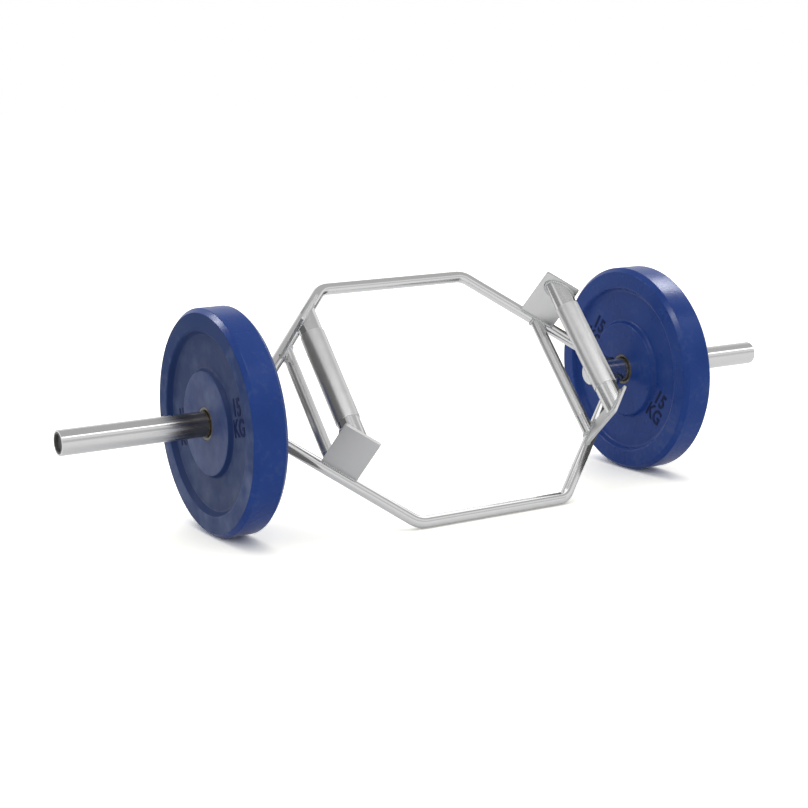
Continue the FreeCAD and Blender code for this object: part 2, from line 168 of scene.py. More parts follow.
def ground_chrome():
    """Chrome plate on ground bar: bright, with stripes along the bar and faint rubs."""
    material, tree, shader = start_material(
        "chrome_on_ground_bar", Base_Color=to_linear("#d4d4d4"), Metallic=1.0, Anisotropic=STRIPES)
    direction, along, section = [add(tree, "ShaderNodeAttribute", attribute_name=name).outputs
                                 for name in ("bar_direction", "along", "section")]
    across = add(tree, "ShaderNodeSeparateXYZ", {"Vector": section["Vector"]}).outputs
    place = add(tree, "ShaderNodeCombineXYZ", {"X": along["Fac"], "Y": across["X"], "Z": across["Y"]})
    finish_lines(tree, shader, RUB_SIZE, smooth=0.06, rough=0.16, depth=0.03 * MM, vector=place)
    feed(tree, shader, {"Tangent": direction["Vector"]})
    return material


GROUND_CHROME = ground_chrome()
print("made", GROUND_CHROME.name)

# %% [markdown]
# ## Running a node tree and keeping its mesh
# A Geometry Nodes tree is a recipe with named inputs. Its modifier takes values by the socket's
# identifier, and the exporter wants plain meshes, so the result is copied off the evaluated object
# and the helper object goes away.

# %% Node tree tools
EDGE_TURN = math.radians(40)  # surfaces that meet at more than this have a crisp edge


def start_tree(name, **sockets):
    """Geometry Nodes tree with a geometry in and out, and further named inputs."""
    tree = bpy.data.node_groups.new(name, "GeometryNodeTree")
    tree.interface.new_socket("Geometry", in_out="INPUT", socket_type="NodeSocketGeometry")
    for socket, kind in sockets.items():
        tree.interface.new_socket(socket, in_out="INPUT", socket_type=f"NodeSocket{kind}")
    tree.interface.new_socket("Geometry", in_out="OUTPUT", socket_type="NodeSocketGeometry")
    return tree, tree.nodes.new("NodeGroupInput").outputs


def end_tree(tree, geometry, material):
    """Close a tree: real geometry with its material."""
    real = add(tree, "GeometryNodeRealizeInstances", {"Geometry": geometry})
    coated = add(tree, "GeometryNodeSetMaterial", {"Geometry": real, "Material": material})
    add(tree, "NodeGroupOutput", {0: coated})
    print("made the tree", tree.name)
    return tree


def mesh_of(source):
    """Plain mesh of what an object comes to, and the object is used up."""
    bpy.context.view_layer.update()
    mesh = bpy.data.meshes.new_from_object(source.evaluated_get(bpy.context.evaluated_depsgraph_get()))
    bpy.data.objects.remove(source)
    return mesh


def grow(source, tree, name, **values):
    """Object with the mesh that a tree grows from a source object."""
    modifier = source.modifiers.new(tree.name, "NODES")
    modifier.node_group = tree
    for item in tree.interface.items_tree:
        if item.in_out == "INPUT" and item.name in values:
            modifier[item.identifier] = values[item.name]
    mesh = mesh_of(source)
    mesh.name = name
    mesh.set_sharp_from_angle(angle=EDGE_TURN)
    return show(name, mesh)


def path_object(paths):
    """Curve object with one spline for each (points, closed) path."""
    curve = bpy.data.curves.new("path", "CURVE")
    curve.dimensions = "3D"
    for points, closed in paths:
        spline = curve.splines.new("POLY")
        spline.points.add(len(points) - 1)
        spline.use_cyclic_u = closed
        for target, point in zip(spline.points, points):
            target.co = (*point, 1.0)
    return show("path", curve)


print("node tree tools are ready")

# %% [markdown]
# ## The bent bars
# Each half of the hexagon is one round bar with two bends. It could be modelled face by face, but a bar
# bender works from a line: two slants, a straight middle and a bend radius. Fillet Curve rounds the line
# as the bender does, and Curve to Mesh sweeps the round section along it. The tree stores which way the
# bar runs at each point, how far along it is and where it is in the section, for the chrome.

# %% Bent bar tree
BEND_STEPS = 20
BAR_FACETS = 56


def bent_bar_tree():
    """Bar swept along a line with rounded corners."""
    tree, given = start_tree("bent_bar", bend_radius="Float", bar_radius="Float", material="Material")
    bent = add(tree, "GeometryNodeFilletCurve", {"Curve": given["Geometry"], "Count": BEND_STEPS,
                                                 "Radius": given["bend_radius"]}, mode="POLY")
    travelled = add(tree, "GeometryNodeSplineParameter").outputs["Length"]
    marked = add(tree, "GeometryNodeStoreNamedAttribute",
                 {"Geometry": bent, "Name": "along", "Value": travelled})
    heading = add(tree, "GeometryNodeInputTangent")
    aimed = add(tree, "GeometryNodeStoreNamedAttribute",
                {"Geometry": marked, "Name": "bar_direction", "Value": heading}, data_type="FLOAT_VECTOR")
    ring = add(tree, "GeometryNodeCurvePrimitiveCircle",
               {"Resolution": BAR_FACETS, "Radius": given["bar_radius"]})
    spot = add(tree, "GeometryNodeInputPosition")
    section = add(tree, "GeometryNodeStoreNamedAttribute",
                  {"Geometry": ring, "Name": "section", "Value": spot}, data_type="FLOAT_VECTOR")
    swept = add(tree, "GeometryNodeCurveToMesh",
                {"Curve": aimed, "Profile Curve": section, "Fill Caps": True})
    return end_tree(tree, swept, given["material"])


BENT_BAR = bent_bar_tree()

# %% [markdown]
# ## Front and back halves
# A half's line has four points: a tip hidden inside each sleeve, and a corner at each end of the straight
# middle. The two halves mirror each other, so one flat line serves both, and the leaning matrix carries it
# to its place. Each grown bar then stands for its imported node, which stays for collision only, hidden.

# %% Front and back bars
BEND_RADIUS = 38 * MM
BURIED_END = 20 * MM  # the bar's end stays this far from the sleeve axis, inside the sleeve
for end, back in ENDS.items():
    corner = APEX_REACH - HALF_DEPTH / math.tan(SLANT)
    tip_x = APEX_REACH - BURIED_END * math.cos(SLANT)
    tip_y = BURIED_END * math.sin(SLANT)
    flat = [(-tip_x, tip_y), (-corner, HALF_DEPTH), (corner, HALF_DEPTH), (tip_x, tip_y)]
    line = [LEANING @ Vector((x, back * y, 0)) for x, y in flat]
    bar = grow(path_object([(line, False)]), BENT_BAR, f"{end}_frame_bar_bent",
               bend_radius=BEND_RADIUS, bar_radius=BAR_RADIUS, material=GROUND_CHROME)
    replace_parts(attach(bar, "frame"), f"{end}_frame_bar")
    print(bar.name, len(bar.data.polygons), "faces")

# %% [markdown]
# ## Turned pieces
# Sleeves and rubber plates are round about the sleeve axis, so a lathe outline says everything: points
# of (distance along the axis, radius, corner rounding). Every corner of a real piece is a little round
# and catches a line of light, so the outline gets an arc there, with a close point on each side of it
# to keep the flats flat when the mesh is shaded smooth.

# %% Lathe tools
ARC_STEPS = 5
FLAT_KEEP = 0.4 * MM  # how far from an arc its close point lies


def rounded(outline):
    """Outline points with an arc in place of every corner that has a rounding."""
    points = []
    for index, (along, radius, rounding) in enumerate(outline):
        here = Vector((along, radius))
        before = Vector(outline[index - 1][:2]) - here
        after = Vector(outline[(index + 1) % len(outline)][:2]) - here
        if rounding == 0:
            points.append(here)
            continue
        half = before.angle(after) / 2
        reach = rounding / math.tan(half)
        centre = here + (before.normalized() + after.normalized()).normalized() * (rounding / math.sin(half))
        start = here + before.normalized() * reach - centre
        sweep = start.angle_signed(here + after.normalized() * reach - centre)
        points.append(here + before.normalized() * (reach + FLAT_KEEP))
        for step in range(ARC_STEPS + 1):
            spoke = Matrix.Rotation(-sweep * step / ARC_STEPS, 2) @ start
            points.append(centre + spoke)
        points.append(here + after.normalized() * (reach + FLAT_KEEP))
    return points


def keep(name, mesh, material):
    """Object with the mesh that bmesh has drawn, in one material."""
    data = bpy.data.meshes.new(name)
    mesh.to_mesh(data)
    mesh.free()
    data.materials.append(material)
    return show(name, data)


def turned(name, outline, steps, material):
    """Closed piece turned about the sleeve axis from an outline in scene X and radius."""
    ring = rounded(outline)
    mesh = bmesh.new()
    loops = []
    for step in range(steps):
        angle = math.tau * step / steps
        loops.append([mesh.verts.new((p.x, p.y * math.sin(angle), AXIS_HEIGHT + p.y * math.cos(angle)))
                      for p in ring])
    for step in range(steps):
        near, far = loops[step], loops[(step + 1) % steps]
        for index in range(len(ring)):
            after = (index + 1) % len(ring)
            mesh.faces.new((near[index], near[after], far[after], far[index])).smooth = True
    bmesh.ops.recalc_face_normals(mesh, faces=mesh.faces)
    piece = keep(name, mesh, material)
    piece.data.set_sharp_from_angle(angle=EDGE_TURN)
    print(name, len(piece.data.polygons), "faces")
    return piece


print("lathe tools are ready")

# %% [markdown]
# ## Rubbed sleeve chrome
# A loading sleeve is a ground tube that plates slide on, so its chrome is rubbed lengthwise by their bores.
# A brown film of rubber and old grease gathers beside the plate's outer face, and its tint also serves as
# painted shade that darkens the sleeve where it mirrors the plate. A band with hard ends would look painted
# on, so two soft ramps along the sleeve are multiplied. One fades the film in under the plate, where the
# bore wipes it away, and one ends it in streaks that stretched noise makes ragged.

# %% Sleeve chrome
SLIDE_SIZE = (240 * MM, 2.5 * MM, 2.5 * MM)
FILM_AND_SHADE_STARTS = 15 * MM  # past the plate's inner face
FILM_AND_SHADE_FULL = 95 * MM  # past the plate's outer face, less what the edge wanders
FILM_AND_SHADE_END = 135 * MM
FILM_AND_SHADE_RAGGED = 100 * MM  # how far the film's edge wanders
FILM_AND_SHADE_MOST = 0.95
COLOUR_A, COLOUR_B, MIXED = 6, 7, 2  # a Mix node's colour sockets, which share their names with others


def sleeve_chrome():
    """Ground chrome rubbed by plate bores: soft stripes along it, and a brown film beside the plate that is
    also painted shade.
    """
    material, tree, shader = start_material("rubbed_sleeve_chrome", Metallic=1.0, Anisotropic=STRIPES)
    rubs = finish_lines(tree, shader, SLIDE_SIZE, smooth=0.1, rough=0.22, depth=0.03 * MM)
    where = add(tree, "ShaderNodeTexCoord").outputs["Object"]
    reach = add(tree, "ShaderNodeSeparateXYZ", {"Vector": where}).outputs["X"]
    outward = add(tree, "ShaderNodeMath", {0: reach}, operation="ABSOLUTE")
    streaks = add(tree, "ShaderNodeTexNoise", {"Vector": rubs, "Scale": 0.6, "Detail": 3.0})
    ragged = add(tree, "ShaderNodeMath", {0: streaks, 1: FILM_AND_SHADE_RAGGED, 2: outward}, operation="MULTIPLY_ADD")
    ending = add(tree, "ShaderNodeMapRange",
                 {"Value": ragged, "From Min": disc_high.x + FILM_AND_SHADE_FULL, "From Max": disc_high.x + FILM_AND_SHADE_END,
                  "To Min": FILM_AND_SHADE_MOST, "To Max": 0.0})
    starting = add(tree, "ShaderNodeMapRange", {"Value": outward, "From Min": disc_low.x + FILM_AND_SHADE_STARTS,
                                                "From Max": disc_high.x})
    # the brown tint beside the plate is partly a grease film and partly painted shade
    film_and_shade = add(tree, "ShaderNodeMath", {0: ending, 1: starting}, operation="MULTIPLY")
    tint = add(tree, "ShaderNodeMix",
               {"Factor": film_and_shade, COLOUR_A: to_linear("#d0d0d0"), COLOUR_B: to_linear("#948b7b")},
               data_type="RGBA")
    direction = add(tree, "ShaderNodeAttribute", attribute_name="bar_direction").outputs["Vector"]
    feed(tree, shader, {"Base Color": tint.outputs[MIXED], "Tangent": direction})
    return material


SLEEVE_CHROME = sleeve_chrome()
print("made", SLEEVE_CHROME.name)

# %% [markdown]
# ## The sleeves
# The tube's outer lip is broken with a small round, and its wall shows as a bright ring about the dark plug.
# Four outline points are enough for the lathe. Each mesh point stores the sleeve's direction, which the
# chrome reads for its stripes.

# %% Sleeve tubes
SLEEVE_WALL = 4 * MM
LIP_ROUND = 1.4 * MM
MOUTH_ROUND = 0.5 * MM
TUBE_STEPS = 96
for side in SIDES:
    low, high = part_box(f"{side}_sleeve_tube")
    inner, outer = sorted((low.x, high.x), key=abs)
    radius = (high.z - low.z) / 2
    tube = turned(f"{side}_sleeve_turned", [
        (inner, radius - SLEEVE_WALL, 0), (outer, radius - SLEEVE_WALL, MOUTH_ROUND),
        (outer, radius, LIP_ROUND), (inner, radius, 0)], TUBE_STEPS, SLEEVE_CHROME)
    direction = tube.data.attributes.new("bar_direction", "FLOAT_VECTOR", "POINT")
    direction.data.foreach_set("vector", [1.0, 0.0, 0.0] * len(tube.data.vertices))
    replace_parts(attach(tube, "frame"), f"{side}_sleeve_tube")

# %% [markdown]
# ## Cut knurl
# A knurl is a pattern of small points that two crossing sets of grooves leave on a grip. Bump mapping would
# fake the light but not the shape, so here the points are real. A grid is wrapped round the grip, and
# every second crossing, as on a chessboard, stands up as a point. Extra rows at both ends turn in to
# the bore and close the tube. The many sums are a table, in which a word is an input or an earlier result.

# %% Knurl tree
HALF_ROW = 0.5  # a row counts as past another from half way between them
MERGE = 0.01 * MM  # points nearer than this are one
VALUE_A, VALUE_B = 2, 3  # a Mix node's sockets for numbers
KNURL_SUMS = [  # result, operation, and what it works on
    ("columns", "ADD", "around", 1.0), ("share", "DIVIDE", "index", "columns"), ("row", "FLOOR", "share"),
    ("column", "MODULO", "index", "columns"), ("last", "SUBTRACT", "rows", 1.0),
    ("crossing", "ADD", "row", "column"), ("stands", "MODULO", "crossing", 2.0),
    ("knurled", "MULTIPLY_ADD", "stands", "depth", "valley"), ("skin_end", "SUBTRACT", "last", 2.0),
    ("after_start", "GREATER_THAN", "row", 1 + HALF_ROW), ("before_end", "LESS_THAN", "row", "skin_end"),
    ("in_skin", "MULTIPLY", "after_start", "before_end"), ("off_first", "GREATER_THAN", "row", HALF_ROW),
    ("bore_end", "SUBTRACT", "last", 1 + HALF_ROW), ("off_last", "LESS_THAN", "row", "bore_end"),
    ("outside", "MULTIPLY", "off_first", "off_last"), ("is_last", "GREATER_THAN", "row", "bore_end"),
    ("closing", "COMPARE", "row", "last"), ("tail", "MULTIPLY_ADD", "closing", -1.0, 0.5),
    ("turn", "DIVIDE", "column", "around"), ("angle", "MULTIPLY", "turn", math.tau),
    ("cosine", "COSINE", "angle"), ("sine", "SINE", "angle")]


def knurl_tree():
    """Tube along X with a knurled skin, from a grid that is wrapped into a closed ring."""
    tree, given = start_tree("knurl", length="Float", valley="Float", depth="Float", bore="Float",
                             rows="Int", around="Int", material="Material")
    known = {name: given[name] for name in ("length", "valley", "depth", "bore", "rows", "around")}
    known["index"] = add(tree, "GeometryNodeInputIndex")
    for result, operation, *terms in KNURL_SUMS:
        inputs = {slot: known.get(term, term) for slot, term in enumerate(terms)}
        known[result] = add(tree, "ShaderNodeMath", inputs, operation=operation)
    edge = add(tree, "ShaderNodeMix",
               {"Factor": known["in_skin"], VALUE_A: known["valley"], VALUE_B: known["knurled"]})
    radius = add(tree, "ShaderNodeMix", {"Factor": known["outside"], VALUE_A: known["bore"], VALUE_B: edge})
    stretch = add(tree, "ShaderNodeMapRange", {"Value": known["row"], "From Min": 1.0,
                                               "From Max": known["skin_end"], "To Min": -0.5, "To Max": 0.5})
    share = add(tree, "ShaderNodeMix",
                {"Factor": known["is_last"], VALUE_A: stretch, VALUE_B: known["tail"]})
    along, across, upward = [
        add(tree, "ShaderNodeMath", {0: first, 1: known[second]}, operation="MULTIPLY")
        for first, second in ((share, "length"), (radius, "cosine"), (radius, "sine"))]
    spot = add(tree, "ShaderNodeCombineXYZ", {"X": along, "Y": across, "Z": upward})
    grid = add(tree, "GeometryNodeMeshGrid", {"Vertices X": known["rows"], "Vertices Y": known["columns"]})
    marked = add(tree, "GeometryNodeStoreNamedAttribute",
                 {"Geometry": grid, "Name": "stands", "Value": known["stands"]})
    wrapped = add(tree, "GeometryNodeSetPosition", {"Geometry": marked, "Position": spot})
    closed = add(tree, "GeometryNodeMergeByDistance", {"Geometry": wrapped, "Distance": MERGE})
    facets = add(tree, "GeometryNodeTriangulate", {"Mesh": closed}, quad_method="SHORTEST_DIAGONAL")
    flat = add(tree, "GeometryNodeSetShadeSmooth", {"Geometry": facets, "Shade Smooth": False})
    return end_tree(tree, flat, given["material"])


KNURL = knurl_tree()

# %% [markdown]
# ## Matt chrome on the knurl
# Each knurl point is chromed, but the many small facets throw light every way, so a knurled grip looks
# pale and even beside the bright tube ends. Palms polish the points, so the tree stores which corners stand
# up, and the material makes those smooth and a lighter grey, and the grooves dull and a darker grey.

# %% Knurl material
PALM_PATCH = 35 * MM
POINT_ROUGHNESS = 0.22
GROOVE_SMOOTH, GROOVE_ROUGH = 0.32, 0.4


def knurl_chrome():
    """Chrome over cut knurl: polished points, dull grooves, and patches that hands have worn."""
    material, tree, shader = start_material("worn_chrome_on_knurl", Metallic=1.0)
    points = add(tree, "ShaderNodeAttribute", attribute_name="stands").outputs["Fac"]
    where = add(tree, "ShaderNodeTexCoord").outputs["Object"]
    sizes = add(tree, "ShaderNodeMapping", {"Vector": where, "Scale": (PALM_PATCH, PALM_PATCH, PALM_PATCH)},
                vector_type="TEXTURE")
    patches = add(tree, "ShaderNodeTexNoise", {"Vector": sizes, "Scale": 1.0, "Detail": 3.0})
    groove = add(tree, "ShaderNodeMapRange",
                 {"Value": patches, "From Min": NOISE_LOW, "From Max": NOISE_HIGH,
                  "To Min": GROOVE_SMOOTH, "To Max": GROOVE_ROUGH})
    spread = add(tree, "ShaderNodeMapRange", {"Value": points, "To Min": groove, "To Max": POINT_ROUGHNESS})
    # the grooves are a darker grey than the points
    tint = add(tree, "ShaderNodeMix",
               {"Factor": points, COLOUR_A: to_linear("#cbcbcb"), COLOUR_B: to_linear("#e2e2e2")},
               data_type="RGBA")
    feed(tree, shader, {"Roughness": spread, "Base Color": tint.outputs[MIXED]})
    return material


KNURL_CHROME = knurl_chrome()
print("made", KNURL_CHROME.name)

# %% [markdown]
# ## Knurled grips and low handles
# The raised grip is a knurled tube pushed over a smooth core, so the step at each end shows. The low handle
# is the same bar as the frame with a knurl rolled into its middle, so its knurl is a thin band that sits
# in the bar's skin. One tree makes both from different sizes. A real pitch is about 1.2 mm, and 2 mm is
# as fine as the render can show.

# %% Knurled pieces
KNURL_PITCH = 2.0 * MM
CLOSING_ROWS = 5  # bore and edge at the start, edge and bore at the end, and the first row again
GRIP_KNURL_DEPTH = 0.11 * MM
LOW_KNURL_DEPTH = 0.1 * MM
LOW_KNURL_RISE = 0.05 * MM  # the low handle's grooves lie this far above its bar
GRIP_CLEARANCE = 0.05 * MM
GRIP_BORE = CORE_RADIUS + GRIP_CLEARANCE
BAND_ROOT = 1.0 * MM  # how deep the low handle's band reaches into the bar
grip_radius = (grip_high.x - grip_low.x) / 2
GRIP_LENGTH = (grip_high.y - grip_low.y - 2 * grip_radius * math.sin(LEAN)) / math.cos(LEAN)


def knurled(name, length, valley, depth, bore, place):
    """Knurled tube with its middle at a place, along that place's X axis."""
    around = 2 * round(math.tau * valley / KNURL_PITCH)
    rows = 2 * round(length / KNURL_PITCH) + CLOSING_ROWS
    seed = show("knurl_seed", bpy.data.meshes.new("knurl_seed"))
    skin = grow(seed, KNURL, name, length=length, valley=valley, depth=depth, bore=bore,
                rows=rows, around=around, material=KNURL_CHROME)
    skin.data.transform(place)
    mesh = bmesh.new()
    mesh.from_mesh(skin.data)
    bmesh.ops.recalc_face_normals(mesh, faces=mesh.faces)
    mesh.to_mesh(skin.data)
    mesh.free()
    print(name, len(skin.data.polygons), "faces")
    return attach(skin, "frame")


X_TO_Y = Matrix.Rotation(math.radians(90), 4, "Z")
for side, out in SIDES.items():
    raised = LEANING @ Matrix.Translation((out * HANDLE_REACH, 0, HANDLE_HEIGHT)) @ X_TO_Y
    grip = knurled(f"{side}_grip_knurl", GRIP_LENGTH, grip_radius - GRIP_KNURL_DEPTH / 2,
                   GRIP_KNURL_DEPTH, GRIP_BORE, raised)
    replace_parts(grip, f"{side}_knurled_grip")
    low = LEANING @ Matrix.Translation((out * HANDLE_REACH, 0, 0)) @ X_TO_Y
    knurled(f"{side}_low_handle_knurl", GRIP_LENGTH, BAR_RADIUS + LOW_KNURL_RISE, LOW_KNURL_DEPTH,
            BAR_RADIUS - BAND_ROOT, low)

# %% [markdown]
# ## Satin plated sheet
# The gusset plates are cut from 6 mm sheet, sanded, and plated over the sanded face, so they look satin and
# show fine lines one way. The lines are noise that is stretched up the plate, and the pattern leans with
# the hexagon. The same few lines of code serve other plain plated steel.

# %% Gusset steel
GRAIN_SIZE = (1.2 * MM, 1.2 * MM, 40 * MM)


def lined_metal(name, shade, size, smooth, rough, depth, **place):
    """Plated steel of one shade, with lines or grain of a size."""
    material, tree, shader = start_material(name, Base_Color=to_linear(shade), Metallic=1.0)
    finish_lines(tree, shader, size, smooth, rough, depth, **place)
    print("made", name)
    return material


# an even satin grey with a sanded grain
GUSSET_STEEL = lined_metal("satin_plated_sheet", "#d2d2d2", GRAIN_SIZE, smooth=0.34, rough=0.5,
                           depth=0.03 * MM, Location=(0, 0, AXIS_HEIGHT), Rotation=(LEAN, 0, 0))

# %% [markdown]
# ## Gusset plates
# Four flat plates stand on the slanted bars and carry the raised handles. A cube could be scaled to size,
# but a drawn outline gives the two round top corners. It is pushed out to the sheet's thickness, and a
# narrow bevel gives the edges the thin bright line that a cut and dressed plate has.

# %% Gusset plates
GUSSET_WIDTH = 80 * MM
GUSSET_TOP = 147 * MM
GUSSET_THICKNESS = 6 * MM
GUSSET_CORNER = 5 * MM
GUSSET_FOOT = 6 * MM  # the plate starts inside the bar
CORNER_STEPS = 6
EDGE_BREAK = 0.7 * MM
RIM_TURN = math.radians(60)  # faces that meet at more than this have a rim between them


def foot_place(out, back):
    """Place on a slanted bar below a handle's end: X along the bar, Y inwards, Z up from the hexagon."""
    inward = Vector((-out * math.sin(SLANT), -back * math.cos(SLANT), 0))
    upward = Vector((0, 0, 1))
    origin = Vector((out * HANDLE_REACH, back * HANDLE_END, 0))
    axes = Matrix((inward.cross(upward), inward, upward)).transposed().to_4x4()
    return LEANING @ Matrix.Translation(origin) @ axes


def gusset_outline():
    """Corner points of the plate, with its two top corners rounded."""
    half = GUSSET_WIDTH / 2
    points = [(-half, GUSSET_FOOT), (half, GUSSET_FOOT)]
    for sign, start in ((1, 0), (-1, 90)):
        for step in range(CORNER_STEPS + 1):
            turn = math.radians(start + 90 * step / CORNER_STEPS)
            points.append((sign * (half - GUSSET_CORNER) + GUSSET_CORNER * math.cos(turn),
                           GUSSET_TOP - GUSSET_CORNER + GUSSET_CORNER * math.sin(turn)))
    return points


for side, out in SIDES.items():
    for end, back in ENDS.items():
        mesh = bmesh.new()
        face = mesh.faces.new([mesh.verts.new((x, 0, z)) for x, z in gusset_outline()])
        push = bmesh.ops.extrude_face_region(mesh, geom=[face])
        moved = [item for item in push["geom"] if isinstance(item, bmesh.types.BMVert)]
        bmesh.ops.translate(mesh, verts=moved, vec=(0, GUSSET_THICKNESS, 0))
        bmesh.ops.recalc_face_normals(mesh, faces=mesh.faces)
        rims = [edge for edge in mesh.edges if edge.calc_face_angle() > RIM_TURN]
        bmesh.ops.bevel(mesh, geom=rims, offset=EDGE_BREAK, segments=2, profile=0.5, affect="EDGES")
        mesh.transform(foot_place(out, back))
        plate = keep(f"{end}_{side}_gusset_plate", mesh, GUSSET_STEEL)
        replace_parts(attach(plate, "frame"), f"{end}_{side}_gusset")
        print(plate.name, len(plate.data.polygons), "faces")

# %% [markdown]
# ## Weld beads
# A welder lays a bead as a row of small overlapping pools, so its surface is rippled, and it follows the
# seam where two pieces meet. A bevelled curve would come out smooth, so one tree sweeps a round bead along
# each seam and swells it at every ripple. Chrome over a weld is duller than on ground bar and uneven. The
# beads between bars and sleeve are painted a dark blue-grey, as painted shade in that tight corner.

# %% Weld bead tree
WELD_FINISH = {"size": (2 * MM, 2 * MM, 2 * MM), "smooth": 0.18, "rough": 0.38, "depth": 0.15 * MM}
WELD_CHROME = lined_metal("plated_weld_bead", "#c2c4c5", **WELD_FINISH)  # a dull, uneven grey
SHADED_CORNER_WELD = lined_metal("corner_weld_painted_shade", "#4c5568", **WELD_FINISH)  # painted dark blue-grey, as painted shade in the corner
RIPPLE_PITCH = 4.0 * MM
RIPPLE_SHARE = 0.12
RIPPLE_POINTS = 6.0
BEAD_FACETS = 14


def weld_bead_tree():
    """Round bead along a seam, swelling once for each ripple."""
    tree, given = start_tree("weld_bead", bead_radius="Float", ripple_pitch="Float", ripple_share="Float",
                             material="Material")
    line, pitch, share = given["Geometry"], given["ripple_pitch"], given["ripple_share"]
    fine = add(tree, "ShaderNodeMath", {0: pitch, 1: RIPPLE_POINTS}, operation="DIVIDE")
    seam = add(tree, "GeometryNodeResampleCurve", {"Curve": line, "Length": fine}, mode="LENGTH")
    travelled = add(tree, "GeometryNodeSplineParameter").outputs["Length"]
    ripples = add(tree, "ShaderNodeMath", {0: travelled, 1: pitch}, operation="DIVIDE")
    phase = add(tree, "ShaderNodeMath", {0: ripples, 1: math.tau}, operation="MULTIPLY")
    wave = add(tree, "ShaderNodeMath", {0: phase}, operation="SINE")
    swell = add(tree, "ShaderNodeMath", {0: wave, 1: share, 2: 1.0}, operation="MULTIPLY_ADD")
    ring = add(tree, "GeometryNodeCurvePrimitiveCircle",
               {"Resolution": BEAD_FACETS, "Radius": given["bead_radius"]})
    bead = add(tree, "GeometryNodeCurveToMesh",
               {"Curve": seam, "Profile Curve": ring, "Scale": swell, "Fill Caps": True})
    return end_tree(tree, bead, given["material"])


WELD_BEAD = weld_bead_tree()

# %% [markdown]
# ## The seams
# Along a gusset foot the seam is a straight line. Where a round core meets a flat gusset it is an ellipse,
# and where two round bars meet it is a saddle. All three come from one idea: go round the smaller piece
# and slide each point along its axis until it lies on the other surface.

# %% Weld seams
GUSSET_BEAD = 3.2 * MM
CORE_BEAD = 3.4 * MM
HANDLE_BEAD = 3.4 * MM
SLEEVE_BEAD = 4.2 * MM
BEAD_MARGIN = 4 * MM
SEAM_STEPS = 72
TURNS = [math.tau * step / SEAM_STEPS for step in range(SEAM_STEPS)]


def beads(name, node, radius, paths, finish=WELD_CHROME):
    """Rippled beads along seams, in place of a packed weld piece."""
    bead = grow(path_object(paths), WELD_BEAD, name, bead_radius=radius, ripple_pitch=RIPPLE_PITCH,
                ripple_share=RIPPLE_SHARE, material=finish)
    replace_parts(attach(bead, "frame"), node)
    print(name, len(paths), "seams,", len(bead.data.polygons), "faces")


def handle_seam(out, back, radius, height, reach_in):
    """Seam round a handle's end, where its points are reach_in(height) inwards of the bar's axis."""
    seam = []
    for turn in TURNS:
        side_step = radius * math.cos(turn)
        level = height + radius * math.sin(turn)
        depth = reach_in(radius * math.sin(turn))
        slide = (depth + out * side_step * math.sin(SLANT)) / math.cos(SLANT)
        seam.append(LEANING @ Vector((out * HANDLE_REACH + side_step, back * (HANDLE_END - slide), level)))
    return seam, True


def sleeve_seam(out, back, sleeve_radius):
    """Seam round a slanted bar, where its points lie on the sleeve."""
    seam = []
    for turn in TURNS:
        level = BAR_RADIUS * math.sin(turn)
        aside = BAR_RADIUS * math.cos(turn)
        outward = math.sqrt(sleeve_radius ** 2 - level ** 2)
        travel = (outward - aside * math.cos(SLANT)) / math.sin(SLANT)
        x = APEX_REACH - travel * math.cos(SLANT) + aside * math.sin(SLANT)
        seam.append(LEANING @ Vector((out * x, back * outward, level)))
    return seam, True


def on_bar(level):
    """Depth of the bar's inner surface at a level above its axis."""
    return math.sqrt(max(BAR_RADIUS ** 2 - level ** 2, 0))


def on_gusset(level):
    """Depth of the gusset's inner face, the same at every level."""
    return GUSSET_THICKNESS


sleeve_low, sleeve_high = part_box("right_sleeve_tube")
sleeve_radius = (sleeve_high.z - sleeve_low.z) / 2
for side, out in SIDES.items():
    beads(f"{side}_sleeve_beads", f"{side}_sleeve_welds", SLEEVE_BEAD,
          [sleeve_seam(out, back, sleeve_radius) for back in ENDS.values()], SHADED_CORNER_WELD)
    beads(f"{side}_low_handle_beads", f"{side}_low_handle_welds", HANDLE_BEAD,
          [handle_seam(out, back, BAR_RADIUS, 0, on_bar) for back in ENDS.values()])
    beads(f"{side}_raised_handle_beads", f"{side}_raised_handle_welds", CORE_BEAD,
          [handle_seam(out, back, CORE_RADIUS, HANDLE_HEIGHT, on_gusset) for back in ENDS.values()])
    for end, back in ENDS.items():
        half = GUSSET_WIDTH / 2 - BEAD_MARGIN
        foot = foot_place(out, back)
        lines = [([foot @ Vector((x, depth, on_bar(depth))) for x in (-half, half)], False)
                 for depth in (0, GUSSET_THICKNESS)]
        beads(f"{end}_{side}_gusset_beads", f"{end}_{side}_gusset_welds", GUSSET_BEAD, lines)

# %% [markdown]
# ## Handle tubes
# The core of a raised handle and the low handle are straight lengths of the same ground stock, cut to fit
# what they are welded to. The bent bar tree makes a straight length as well, and every end point then
# slides along the tube until it lies just inside the gusset or the bar, as a saw and a file would fit it.

# %% Handle tubes
FIT_DEPTH = 1.0 * MM


def fitted_tube(name, node, out, radius, height, reach_in):
    """Straight tube between the two slanted bars of a side, with both ends cut to fit."""
    ends = [LEANING @ Vector((out * HANDLE_REACH, back * HANDLE_END, height)) for back in (-1, 1)]
    tube = grow(path_object([(ends, False)]), BENT_BAR, name, bend_radius=0.0, bar_radius=radius,
                material=GROUND_CHROME)
    for vertex in tube.data.vertices:
        flat = LEANING.inverted() @ vertex.co
        back = math.copysign(1, flat.y)
        depth = reach_in(flat.z - height) - FIT_DEPTH
        slide = (depth + (out * flat.x - HANDLE_REACH) * math.sin(SLANT)) / math.cos(SLANT)
        vertex.co = LEANING @ Vector((flat.x, back * (HANDLE_END - slide), flat.z))
    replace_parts(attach(tube, "frame"), node)
    print(name, len(tube.data.polygons), "faces")


for side, out in SIDES.items():
    fitted_tube(f"{side}_raised_handle_core", f"{side}_raised_handle_tube", out,
                CORE_RADIUS, HANDLE_HEIGHT, on_gusset)
    fitted_tube(f"{side}_low_handle_bar", f"{side}_low_handle", out, BAR_RADIUS, 0, on_bar)
